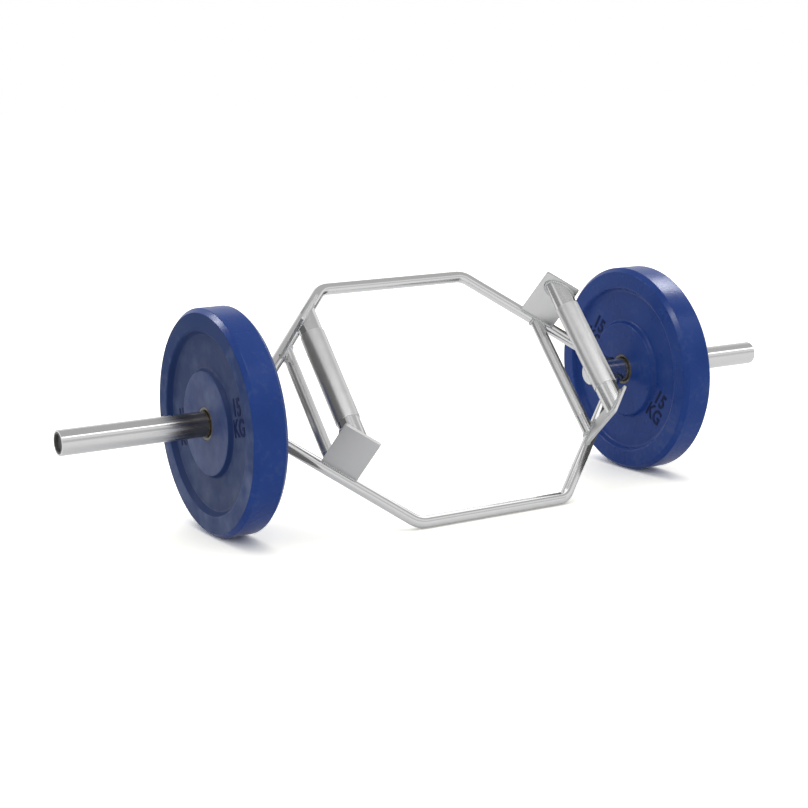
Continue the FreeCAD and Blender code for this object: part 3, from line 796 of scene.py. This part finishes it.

# %% [markdown]
# ## Moulded blue rubber
# A bumper plate is dense rubber pressed in a polished mould, with a fine grain. One flat blue would look
# like paint, so the recipe mixes two blues in soft clouds, adds scuffs that hold dust, paints the lower part
# paler in the dust's colour as painted light from below, and adds a bump for the grain. With other numbers
# it serves every zone of the plate.

# %% Rubber recipe
CLOUD = 70 * MM
MOULD_GRAIN = 1.6 * MM  # coarser than the real skin, so that it shows
CLOUD_DETAIL, SCUFF_DETAIL, GRAIN_DETAIL = 3.0, 2.0, 2.0
GRAIN_BUMP = 0.25
GRAIN_DEPTH = 0.12 * MM
DUST_SPAN = 0.45  # from where dust starts to show, to where it shows most
DUST_MOST = 0.9


def blue_rubber(name, deep, pale, dust, dust_from, painted_floor_light, scuff, smooth, rough, gloss):
    """Moulded rubber with clouds between two blues, dusty scuffs, a lower part painted paler as painted
    light, and a fine grain.
    """
    material, tree, shader = start_material(name, Metallic=0.0, IOR=1.5, Specular_IOR_Level=gloss)
    where = add(tree, "ShaderNodeTexCoord").outputs["Object"]
    noises = []
    for size, detail in ((CLOUD, CLOUD_DETAIL), (scuff, SCUFF_DETAIL), (MOULD_GRAIN, GRAIN_DETAIL)):
        sizes = add(tree, "ShaderNodeMapping", {"Vector": where, "Scale": (size, size, size)},
                    vector_type="TEXTURE")
        noises.append(add(tree, "ShaderNodeTexNoise", {"Vector": sizes, "Scale": 1.0, "Detail": detail}))
    clouds, scuffs, grain = noises
    blue = add(tree, "ShaderNodeMix",
               {"Factor": clouds, COLOUR_A: to_linear(deep), COLOUR_B: to_linear(pale)}, data_type="RGBA")
    marks = add(tree, "ShaderNodeMath", {0: clouds, 1: scuffs}, operation="MULTIPLY")
    height = add(tree, "ShaderNodeSeparateXYZ", {"Vector": where}).outputs["Z"]
    # painted light from below: the rubber turns paler towards the bottom of the plate
    floor_light_share = add(tree, "ShaderNodeMapRange", {"Value": height, "From Max": 2 * AXIS_HEIGHT,
                                               "To Min": painted_floor_light, "To Max": 0.0})
    dust_and_floor_light = add(tree, "ShaderNodeMath", {0: marks, 1: floor_light_share}, operation="ADD")
    # the dust colour is mixed in both for the real dust and for the painted light from below
    dusty = add(tree, "ShaderNodeMapRange", {"Value": dust_and_floor_light, "From Min": dust_from, "To Min": 0.0,
                                             "From Max": dust_from + DUST_SPAN, "To Max": DUST_MOST})
    colour = add(tree, "ShaderNodeMix",
                 {"Factor": dusty, COLOUR_A: blue.outputs[MIXED], COLOUR_B: to_linear(dust)},
                 data_type="RGBA")
    spread = add(tree, "ShaderNodeMapRange", {"Value": clouds, "From Min": NOISE_LOW, "From Max": NOISE_HIGH,
                                              "To Min": smooth, "To Max": rough})
    bump = add(tree, "ShaderNodeBump", {"Height": grain, "Strength": GRAIN_BUMP, "Distance": GRAIN_DEPTH})
    feed(tree, shader, {"Base Color": colour.outputs[MIXED], "Roughness": spread, "Normal": bump})
    print("made", name)
    return material


# %% [markdown]
# ## Six rubbers
# The tread comes out of the mould smooth and deep blue. The outer face is handled and stacked against other
# plates, so its rim is duller, its sunk web holds chalk and dust that a cloth doesn't reach, and its hub is
# rubbed pale. The slopes between them are painted a darker blue as painted shade, and the raised figures are
# painted darkest, as painted shade about their relief.

# %% Rubber materials
FINE_SCUFF = 12 * MM
BROAD_SCUFF = 40 * MM
RUBBERS = {  # deep and pale blue, dust, its start, painted light from below, scuff, roughness from and to, and gloss
    "moulded_blue_rubber": ("#16387f", "#214590", "#4a5a84", 0.30, 0.04, FINE_SCUFF, 0.24, 0.36, 0.16),
    "handled_blue_rubber": ("#223767", "#2c4171", "#6b7695", 0.34, 0.38, BROAD_SCUFF, 0.4, 0.6, 0.05),
    "dusty_blue_rubber": ("#2b3a60", "#3a4870", "#5f6a86", 0.3, 0.275, BROAD_SCUFF, 0.5, 0.75, 0.12),
    "rubbed_blue_rubber": ("#2a3d6d", "#364777", "#6a7593", 0.34, 0.42, BROAD_SCUFF, 0.4, 0.6, 0.15),
    # painted shade: the slopes are a darker blue than the clean tread
    "slope_shade_blue_rubber": ("#1a2e5a", "#223a6e", "#3a4870", 0.36, 0.0, FINE_SCUFF, 0.45, 0.65, 0.12),
    # painted shade: the figures are darker than the rubber they are moulded from
    "letter_shade_rubber": ("#101c44", "#172758", "#3a4870", 0.36, 0.0, FINE_SCUFF, 0.45, 0.65, 0.12)}
TREAD_RUBBER, *FACE_RUBBERS, LETTER_RUBBER = [blue_rubber(name, *row) for name, row in RUBBERS.items()]

# %% [markdown]
# ## Half a disc's outline
# The disc is one moulding: a tread with chamfered edges, a flat rim, a web sunk on both faces and a hub that
# stands up round the steel insert. Both faces are alike, so half the section is written down, from the
# groove that holds the insert's flange out to the tread. Corners have the rounding that a mould leaves.

# %% Disc outline
TREAD_CHAMFER = 9 * MM
RIM_WIDTH = 34 * MM
WEB_RECESS = 13 * MM
WEB_SLOPE = 8 * MM
HUB_RADIUS = 102 * MM
HUB_SLOPE = 6 * MM
HUB_RECESS = 2 * MM
SEAT_RADIUS = 33.05 * MM
GROOVE_RADIUS = 48.05 * MM
GROOVE_HALF = 5.05 * MM
SEAT_ROUND, HUB_ROUND, HUB_FOOT_ROUND = 1 * MM, 4 * MM, 7 * MM
WEB_ROUND, RIM_ROUND, TREAD_ROUND = 8 * MM, 6 * MM, 2.5 * MM
PLATE_RADIUS = (disc_high.z - disc_low.z) / 2
PLATE_HALF = (disc_high.x - disc_low.x) / 2
PLATE_MIDDLE = (disc_high.x + disc_low.x) / 2
RIM_OUTER = PLATE_RADIUS - TREAD_CHAMFER
RIM_INNER = RIM_OUTER - RIM_WIDTH

half_section = [
    (GROOVE_HALF, GROOVE_RADIUS, 0), (GROOVE_HALF, SEAT_RADIUS, 0),
    (PLATE_HALF - HUB_RECESS, SEAT_RADIUS, SEAT_ROUND), (PLATE_HALF - HUB_RECESS, HUB_RADIUS, HUB_ROUND),
    (PLATE_HALF - WEB_RECESS, HUB_RADIUS + HUB_SLOPE, HUB_FOOT_ROUND),
    (PLATE_HALF - WEB_RECESS, RIM_INNER - WEB_SLOPE, WEB_ROUND), (PLATE_HALF, RIM_INNER, RIM_ROUND),
    (PLATE_HALF, RIM_OUTER, TREAD_ROUND), (PLATE_HALF - TREAD_CHAMFER, PLATE_RADIUS, TREAD_ROUND)]
print(f"plate {2 * PLATE_RADIUS / MM:.0f} mm across and {2 * PLATE_HALF / MM:.0f} mm thick")

# %% [markdown]
# ## The bumper discs
# The outline and its mirror image close the section, and the lathe turns it. On the outer side each mesh
# face gets the rubber of its zone, by its distance from the axis and by how squarely it looks outwards: hub,
# web, rim, or the slopes between them. Chamfer, tread and inner side keep the tread's rubber.

# %% Bumper discs
PLATE_STEPS = 192
RIM, WEB, HUB, SLOPE = 1, 2, 3, 4  # places in the disc's list of materials, after the tread's
WEB_END = RIM_INNER - WEB_SLOPE / 2  # dust stops half way up the slope
SLOPES_END = RIM_OUTER - RIM_WIDTH / 2  # past the middle of the rim only the chamfer slopes
FACE_TURN = 0.85  # a mesh face that looks outwards by at least this share is flat, and gets dusty
SLOPE_TURN = 0.3  # between the two shares it is on a slope, or on the chamfer beside the tread


def mirrored(half, out):
    """Closed outline about the middle of a side's plate, from half of it."""
    middle = out * PLATE_MIDDLE
    return ([(middle + along, radius, rounding) for along, radius, rounding in half]
            + [(middle - along, radius, rounding) for along, radius, rounding in reversed(half)])


for side, out in SIDES.items():
    disc = turned(f"{side}_bumper_moulding", mirrored(half_section, out), PLATE_STEPS, TREAD_RUBBER)
    for rubber in FACE_RUBBERS:
        disc.data.materials.append(rubber)
    for face in disc.data.polygons:
        from_axis = math.hypot(face.center.y, face.center.z - AXIS_HEIGHT)
        looks_out = out * face.normal.x if out * face.center.x > PLATE_MIDDLE else 0
        if looks_out > FACE_TURN:
            face.material_index = HUB if from_axis < HUB_RADIUS else WEB if from_axis < WEB_END else RIM
        elif looks_out > SLOPE_TURN and from_axis < SLOPES_END:
            face.material_index = SLOPE
    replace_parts(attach(disc, f"{side}_disc"), f"{side}_bumper_disc")

# %% [markdown]
# ## Plain weight marks
# Plates carry their weight in raised figures on the web, and a plain number and its unit are enough here.
# Text is a curve in Blender, so it is made a mesh, with a thick outline and a small bevel for the soft edges
# of moulded figures. The marks stand twice on each face, a little sunk into the web so that no gap shows,
# and turn with the disc. The plates were put on at any turn, so each has its own clock angle.

# %% Weight marks
MARK_TEXT = "15\nKG"
MARK_SIZE = 47 * MM
MARK_LINE_SPACE = 0.85
MARK_BOLD = 0.9 * MM  # how far the figures' outlines are pushed out
MARK_HEIGHT = 1.1 * MM
MARK_BEVEL = 0.25 * MM
MARK_RADIUS = 130 * MM
MARK_NARROW = Matrix.Diagonal((0.76, 1, 1, 1))
MARK_SINK = 0.4 * MM
PLATE_TURN = {"left": math.radians(-13), "right": math.radians(33)}


def mark_mesh(name):
    """Mesh of the raised figures, standing in X and Y about their middle."""
    text = bpy.data.curves.new(name, "FONT")
    text.body = MARK_TEXT
    text.align_x = "CENTER"
    text.align_y = "CENTER"
    text.size = MARK_SIZE
    text.space_line = MARK_LINE_SPACE
    text.offset = MARK_BOLD
    text.extrude = MARK_HEIGHT / 2
    text.bevel_depth = MARK_BEVEL
    text.bevel_resolution = 1
    return mesh_of(show(name, text))


def lay_on_face(mesh, x, looks_to, clock):
    """Move figures to a web face at a clock angle, seen from the side that the face looks to."""
    page = Matrix(((0, 0, looks_to), (looks_to, 0, 0), (0, 1, 0))).to_4x4()
    turn = Matrix.Rotation(-clock, 4, (looks_to, 0, 0))
    mesh.transform(Matrix.Translation((x, 0, AXIS_HEIGHT)) @ turn @ page)


for side, out in SIDES.items():
    joined = bmesh.new()
    for looks_to in (1, -1):
        web = out * PLATE_MIDDLE + looks_to * (PLATE_HALF - WEB_RECESS + MARK_HEIGHT / 2 - MARK_SINK)
        for half_turn in (1, -1):
            mesh = mark_mesh(f"{side}_marks")
            mesh.transform(Matrix.Translation((half_turn * MARK_RADIUS, 0, 0)) @ MARK_NARROW)
            lay_on_face(mesh, web, looks_to, -looks_to * PLATE_TURN[side])
            joined.from_mesh(mesh)
    bmesh.ops.remove_doubles(joined, verts=joined.verts, dist=MERGE)
    # the figures' dark rubber is painted shade about their relief
    marks = keep(f"{side}_weight_marks", joined, LETTER_RUBBER)
    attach(marks, f"{side}_disc")
    print(marks.name, len(marks.data.polygons), "faces")

# %% [markdown]
# ## Caps and plugs
# The cap that closes the sleeve inside the hexagon is chromed like the sleeve but ground flat, so it is
# satin bright. The plug in the sleeve's outer end is black moulded plastic that holds a little dust. Their
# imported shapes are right, so both keep them, and the finish goes into the node's own material slot.

# %% Caps and plugs
CAP_GRAIN = (3 * MM, 3 * MM, 24 * MM)
PLUG_GRAIN = (1.2 * MM, 1.2 * MM, 1.2 * MM)
PLUG_DUST = 12 * MM


def plug_plastic():
    """Black polypropylene with a fine moulded texture and a little dust."""
    material, tree, shader = start_material("black_moulded_plug", IOR=1.49)
    finish_lines(tree, shader, PLUG_GRAIN, smooth=0.45, rough=0.65, depth=0.1 * MM)
    where = add(tree, "ShaderNodeTexCoord").outputs["Object"]
    dust = add(tree, "ShaderNodeTexNoise", {"Vector": where, "Scale": 1 / PLUG_DUST, "Detail": 4.0})
    tone = add(tree, "ShaderNodeMix",
               {"Factor": dust, COLOUR_A: to_linear("#2a2a2b"), COLOUR_B: to_linear("#6a6a6a")},
               data_type="RGBA")
    feed(tree, shader, {"Base Color": tone.outputs[MIXED]})
    return material


# satin bright chrome
CAP_CHROME = lined_metal("chrome_on_ground_cap", "#d2d3d4", CAP_GRAIN, smooth=0.15, rough=0.3,
                         depth=0.04 * MM)
PLUG_PLASTIC = plug_plastic()
for side in SIDES:
    for node, material in ((f"{side}_sleeve_inner_cap", CAP_CHROME),
                           (f"{side}_sleeve_end_plug", PLUG_PLASTIC)):
        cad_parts[node].data.materials[0] = material
        print("finished", node)

# %% [markdown]
# ## Dull zinc on turned steel
# The hub insert is a turned steel ring with a zinc coat that has gone a dull grey-brown, so it is satin and
# shows fine rings about the axis from the lathe tool. A sine of the distance from the axis gives the rings,
# 1.5 mm apart here, coarser than the tool's real feed so that they show.

# %% Insert steel
TOOL_RING = 1.5 * MM
ZINC_PATCH = 18 * MM
RING_SMOOTH, RING_ROUGH = 0.22, 0.4
RING_BUMP = 0.3
RING_DEPTH = 0.05 * MM


def insert_steel():
    """Turned steel with a thin, dulled zinc coat: satin, with rings from the lathe tool."""
    material, tree, shader = start_material("dull_zinc_on_turned_steel", Metallic=1.0)
    where = add(tree, "ShaderNodeTexCoord").outputs["Object"]
    centred = add(tree, "ShaderNodeMapping", {"Vector": where, "Location": (0, 0, AXIS_HEIGHT)},
                  vector_type="TEXTURE")
    flat = add(tree, "ShaderNodeVectorMath", {0: centred, 1: (0, 1, 1)}, operation="MULTIPLY")
    from_axis = add(tree, "ShaderNodeVectorMath", {0: flat}, operation="LENGTH").outputs["Value"]
    rings = add(tree, "ShaderNodeMath", {0: from_axis, 1: math.tau / TOOL_RING}, operation="MULTIPLY")
    wave = add(tree, "ShaderNodeMath", {0: rings}, operation="SINE")
    patches = add(tree, "ShaderNodeTexNoise", {"Vector": where, "Scale": 1 / ZINC_PATCH})
    tint = add(tree, "ShaderNodeMix",
               {"Factor": patches, COLOUR_A: to_linear("#4f4d48"), COLOUR_B: to_linear("#6b6862")},
               data_type="RGBA")
    spread = add(tree, "ShaderNodeMapRange",
                 {"Value": wave, "From Min": -1.0, "To Min": RING_SMOOTH, "To Max": RING_ROUGH})
    bump = add(tree, "ShaderNodeBump", {"Height": wave, "Strength": RING_BUMP, "Distance": RING_DEPTH})
    feed(tree, shader, {"Base Color": tint.outputs[MIXED], "Roughness": spread, "Normal": bump})
    return material


INSERT_STEEL = insert_steel()
print("made", INSERT_STEEL.name)

# %% [markdown]
# ## Hub inserts
# The insert lines the plate's bore, and its flange anchors it in the rubber. Its mouth is chamfered so that
# it finds the sleeve, and its broken edges catch a thin line of light. It is the same at both ends, so half
# an outline and its mirror image go to the lathe, as for the disc.

# %% Turned inserts
BORE_RADIUS = 25.5 * MM
INSERT_RADIUS = 33 * MM
FLANGE_RADIUS = 48 * MM
FLANGE_HALF = 5 * MM
MOUTH = 3 * MM
EDGE_ROUND, FLANGE_ROUND = 0.8 * MM, 0.5 * MM
INSERT_HALF = PLATE_HALF - HUB_RECESS
half_insert = [
    (INSERT_HALF - MOUTH, BORE_RADIUS, EDGE_ROUND), (INSERT_HALF, BORE_RADIUS + MOUTH, EDGE_ROUND),
    (INSERT_HALF, INSERT_RADIUS, EDGE_ROUND), (FLANGE_HALF, INSERT_RADIUS, FLANGE_ROUND),
    (FLANGE_HALF, FLANGE_RADIUS, FLANGE_ROUND)]
for side, out in SIDES.items():
    insert = turned(f"{side}_hub_insert_turned", mirrored(half_insert, out), TUBE_STEPS, INSERT_STEEL)
    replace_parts(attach(insert, f"{side}_insert"), f"{side}_hub_insert")

# %% [markdown]
# ## The floor and the surroundings
# The bar stands on a pale floor in even light, with soft shadows only where the plates and the front bar
# touch it. To light a floor up to white would take more light than the object bears, so the camera is shown
# a brighter floor colour, while the floor that lights the object stays a plain pale grey. The room about it
# is white to the camera and in mirrors, and weaker as a light.

# %% Floor and surroundings
FLOOR_SIZE = 60.0
FLOOR_TONE = (1.68, 1.66, 1.56, 1)  # white to the camera wherever it is more than two thirds lit
MATT_FLOOR = (0.8, 0.8, 0.8, 1)
FLOOR_GLOW = 0.2  # lifts the floor to white in mirrors
AMBIENT = 0.65


def seen_directly(tree):
    """1 for camera, mirror and glass rays, 0 for rays that only carry light."""
    path = add(tree, "ShaderNodeLightPath").outputs
    direct = add(tree, "ShaderNodeMath", {0: path["Is Camera Ray"], 1: path["Is Glossy Ray"]},
                 operation="MAXIMUM")
    return add(tree, "ShaderNodeMath", {0: direct, 1: path["Is Transmission Ray"]}, operation="MAXIMUM")


def bare_material(name):
    """Material without any node yet."""
    material = bpy.data.materials.new(name)
    material.use_nodes = True
    material.node_tree.nodes.clear()
    return material, material.node_tree


def floor_material():
    """Matt pale floor that looks white where no shadow falls."""
    material, tree = bare_material("pale_floor")
    path = add(tree, "ShaderNodeLightPath").outputs
    pale = add(tree, "ShaderNodeBsdfDiffuse", {"Color": FLOOR_TONE})
    glow = add(tree, "ShaderNodeEmission", {"Color": (1, 1, 1, 1), "Strength": FLOOR_GLOW})
    matt = add(tree, "ShaderNodeBsdfDiffuse", {"Color": MATT_FLOOR})
    lifted = add(tree, "ShaderNodeAddShader", {0: matt, 1: glow})
    unseen = add(tree, "ShaderNodeMixShader", {0: seen_directly(tree), 1: matt, 2: lifted})
    either = add(tree, "ShaderNodeMixShader", {0: path["Is Camera Ray"], 1: unseen, 2: pale})
    add(tree, "ShaderNodeOutputMaterial", {"Surface": either})
    return material


def rectangle(width, depth):
    """Corners and face of a rectangle about its middle."""
    half, deep = width / 2, depth / 2
    return [(-half, -deep), (half, -deep), (half, deep), (-half, deep)], [(0, 1, 2, 3)]


def flat_sheet(name, shape, place, material):
    """Flat stage sheet of corners and faces, which isn't part of the object."""
    corners, faces = shape
    mesh = bpy.data.meshes.new(name)
    mesh.from_pydata([(x, y, 0) for x, y in corners], [], faces)
    mesh.materials.append(material)
    sheet = show(name, mesh)
    sheet.matrix_world = place
    return sheet


flat_sheet("floor", rectangle(FLOOR_SIZE, FLOOR_SIZE), Matrix.Identity(4), floor_material())
world = bpy.data.worlds.new("pale_surroundings")
bpy.context.scene.world = world
world.use_nodes = True
tree = world.node_tree
strength = add(tree, "ShaderNodeMapRange", {"Value": seen_directly(tree), "To Min": AMBIENT, "To Max": 1.0})
feed(tree, tree.nodes["Background"], {"Color": (1, 1, 1, 1), "Strength": strength})
print("floor", FLOOR_SIZE, "m wide, surroundings of strength", AMBIENT)

# %% [markdown]
# ## Cards
# Chrome shows what stands round it, so a photographer sets up cards. A grey ceiling and a pale front wall
# give the bars their long bands, and a grey card inside the hexagon gives the right-hand handles a dark
# stripe. Cards are seen in reflections only, and only from their front, so they neither light nor shade
# anything.

# %% Cards
CARDS = {  # shade, width and depth, place, and the point that it faces
    "ceiling_card": ("#cccccc", (9.0, 7.0), (0, 0.5, 3.6), (0, 0.5, 0)),
    "front_wall_card": ("#dedede", (16.0, 2.6), (0, -7.0, 2.6), (0, 0, 2.6)),
    "middle_card": ("#a2a2a2", (0.6, 1.0), (-0.25, 0.45, 0.55), (1.0, 0.45, 0.55))}


def card(name, shade, shape, place, aim):
    """Plain card that faces a point, and that only reflections see, from its front."""
    material, tree = bare_material(f"{name}_shade")
    plain = add(tree, "ShaderNodeEmission", {"Color": to_linear(shade), "Strength": 1.0})
    clear = add(tree, "ShaderNodeBsdfTransparent")
    back = add(tree, "ShaderNodeNewGeometry").outputs["Backfacing"]
    one_sided = add(tree, "ShaderNodeMixShader", {0: back, 1: plain, 2: clear})
    add(tree, "ShaderNodeOutputMaterial", {"Surface": one_sided})
    turn = (Vector(aim) - Vector(place)).to_track_quat("Z", "Y").to_matrix().to_4x4()
    sheet = flat_sheet(name, shape, Matrix.Translation(place) @ turn, material)
    sheet.visible_camera = False
    sheet.visible_diffuse = False
    sheet.visible_shadow = False


for name, (shade, size, place, aim) in CARDS.items():
    card(name, shade, rectangle(*size), place, aim)
print("cards:", ", ".join(CARDS))

# %% [markdown]
# ## Flags before the plates
# A plate's strong blue would tint every handle that mirrors it. A round grey flag before each plate's inner
# face keeps it out, as a photographer's flag does. Its middle is open, because the sleeve passes there and
# does mirror the plate.

# %% Flags
MIDDLE = (0, 0, AXIS_HEIGHT)
FLAG_STEPS = 64
FLAG_REACH = 0.455  # just inside the plate's inmost place
FLAG_HOLE = 0.07
FLAG_RADIUS = 0.26
FLAG_SHADES = {"left": "#707070", "right": "#585858"}
for side, out in SIDES.items():
    turns = [math.tau * step / FLAG_STEPS for step in range(FLAG_STEPS)]
    corners = [(radius * math.cos(turn), radius * math.sin(turn))
               for radius in (FLAG_HOLE, FLAG_RADIUS) for turn in turns]
    quads = [(step, FLAG_STEPS + step, FLAG_STEPS + (step + 1) % FLAG_STEPS, (step + 1) % FLAG_STEPS)
             for step in range(FLAG_STEPS)]
    card(f"{side}_flag", FLAG_SHADES[side], (corners, quads), (out * FLAG_REACH, 0, AXIS_HEIGHT), MIDDLE)
print("flags of", FLAG_RADIUS, "m before both plates")

# %% [markdown]
# ## Highlight lamps
# Three small lamps give the rubber its highlights, a long strip gives handles and sleeves a bright line, and
# two weak lamps lift the front bar and the right grip. Light linking keeps each to the pieces that it is
# for, as a photographer does with screens, or it would burn out the rest. They show in gloss only, so the
# plain light stays as it is.

# %% Highlight lamps
WATTS = 4  # for each square metre of a lamp and each step of its shine


def receivers(name, pieces, state="INCLUDE"):
    """Collection of pieces that a lamp shines on, or leaves out."""
    collection = bpy.data.collections.new(name)
    for piece in pieces:
        collection.objects.link(bpy.data.objects[piece])
    for link in collection.collection_objects:
        link.light_linking.link_state = state
    return collection


def highlight_lamp(name, shine, size, place, aim, shines_on):
    """Rectangular lamp of a brightness that only the gloss of its receivers shows."""
    lamp = bpy.data.lights.new(name, "AREA")
    lamp.shape = "RECTANGLE"
    lamp.size, lamp.size_y = size
    lamp.energy = WATTS * shine * lamp.size * lamp.size_y
    holder = show(name, lamp)
    holder.location = place
    holder.rotation_euler = (Vector(aim) - Vector(place)).to_track_quat("-Z", "Y").to_euler()
    holder.visible_camera = False
    holder.visible_diffuse = False
    holder.light_linking.receiver_collection = shines_on


plates = receivers("plates", [f"{side}_bumper_moulding" for side in SIDES])
not_in_strip = [f"{end}_frame_bar_bent" for end in ENDS] + [f"{side}_sleeve_beads" for side in SIDES]
all_but_bars = receivers("all_but_bars", not_in_strip + ["back_right_gusset_plate"], "EXCLUDE")
front_bar = receivers("front_bar", ["front_frame_bar_bent"])
right_grip = receivers("right_grip", ["right_grip_knurl"])
LAMPS = {  # shine, width and depth, place, the point that it faces, and what it shines on
    "right_highlight": (14.0, (0.8, 0.8), (2.2, 0.7, 2.5), MIDDLE, plates),
    "left_front_highlight": (22.0, (0.5, 0.5), (-1.46, -0.94, 2.23), MIDDLE, plates),
    "left_back_highlight": (30.0, (0.5, 0.5), (-1.71, 1.71, 2.25), MIDDLE, plates),
    "strip_light": (1.7, (9.0, 0.7), (0.5, -2.1, 3.3), (0.5, 0, AXIS_HEIGHT), all_but_bars),
    "front_bar_light": (0.8, (2.0, 2.0), (1.3, 0.6, 2.0), (0, -0.2, 0), front_bar),
    "right_grip_light": (0.5, (0.3, 0.3), (0.44, 0, 0.32), (HANDLE_REACH, 0, 0.3), right_grip)}
for name, row in LAMPS.items():
    highlight_lamp(name, *row)
print("lamps:", ", ".join(LAMPS))

# %% [markdown]
# ## The overhead light
# One wide, soft light from above gives the shadows under the plates and the front bar. A sun lamp with a
# large angle makes them as soft as a big studio box would. It is kept out of mirrors, where it would be a
# bright disc.

# %% Overhead light
OVERHEAD_STRENGTH = 1.2
OVERHEAD_WIDTH = math.radians(75)
OVERHEAD_AIM = Vector((-0.12, -0.28, -0.95))
overhead = bpy.data.lights.new("overhead_light", "SUN")
overhead.energy = OVERHEAD_STRENGTH
overhead.angle = OVERHEAD_WIDTH
overhead_holder = show("overhead_light", overhead)
overhead_holder.rotation_euler = OVERHEAD_AIM.to_track_quat("-Z", "Y").to_euler()
overhead_holder.visible_glossy = False
print("overhead light of strength", OVERHEAD_STRENGTH)

# %% [markdown]
# ## The camera
# The photograph was taken from the front left, a little above the bar, with a long lens. Its place, turn and
# focal length were found by matching the bar's own corners, so the picture can be compared line by line.

# %% Camera
FRAME_PIXELS = 808
SENSOR_WIDTH = 36.0
VIEW_END = 200.0
FOCAL_PIXELS = 1783.6
CAMERA_PLACE = (-1.9374, -3.1114, 0.9121)
CAMERA_YAW = math.radians(30.673)
CAMERA_PITCH = math.radians(-10.956)
CAMERA_ROLL = math.radians(-1.176)

ahead = Vector((math.sin(CAMERA_YAW) * math.cos(CAMERA_PITCH),
                math.cos(CAMERA_YAW) * math.cos(CAMERA_PITCH), math.sin(CAMERA_PITCH)))
level = Vector((math.cos(CAMERA_YAW), -math.sin(CAMERA_YAW), 0))
above = level.cross(ahead)
rightward = math.cos(CAMERA_ROLL) * level + math.sin(CAMERA_ROLL) * above
upward = math.cos(CAMERA_ROLL) * above - math.sin(CAMERA_ROLL) * level
lens = bpy.data.cameras.new("camera")
lens.sensor_width = SENSOR_WIDTH
lens.lens = SENSOR_WIDTH * FOCAL_PIXELS / FRAME_PIXELS
lens.clip_end = VIEW_END
camera = show("camera", lens)
camera.matrix_world = (Matrix.Translation(CAMERA_PLACE)
                       @ Matrix((rightward, upward, -ahead)).transposed().to_4x4())
bpy.context.scene.camera = camera
bpy.context.scene.view_settings.view_transform = "Standard"
print(f"lens {lens.lens:.1f} mm")
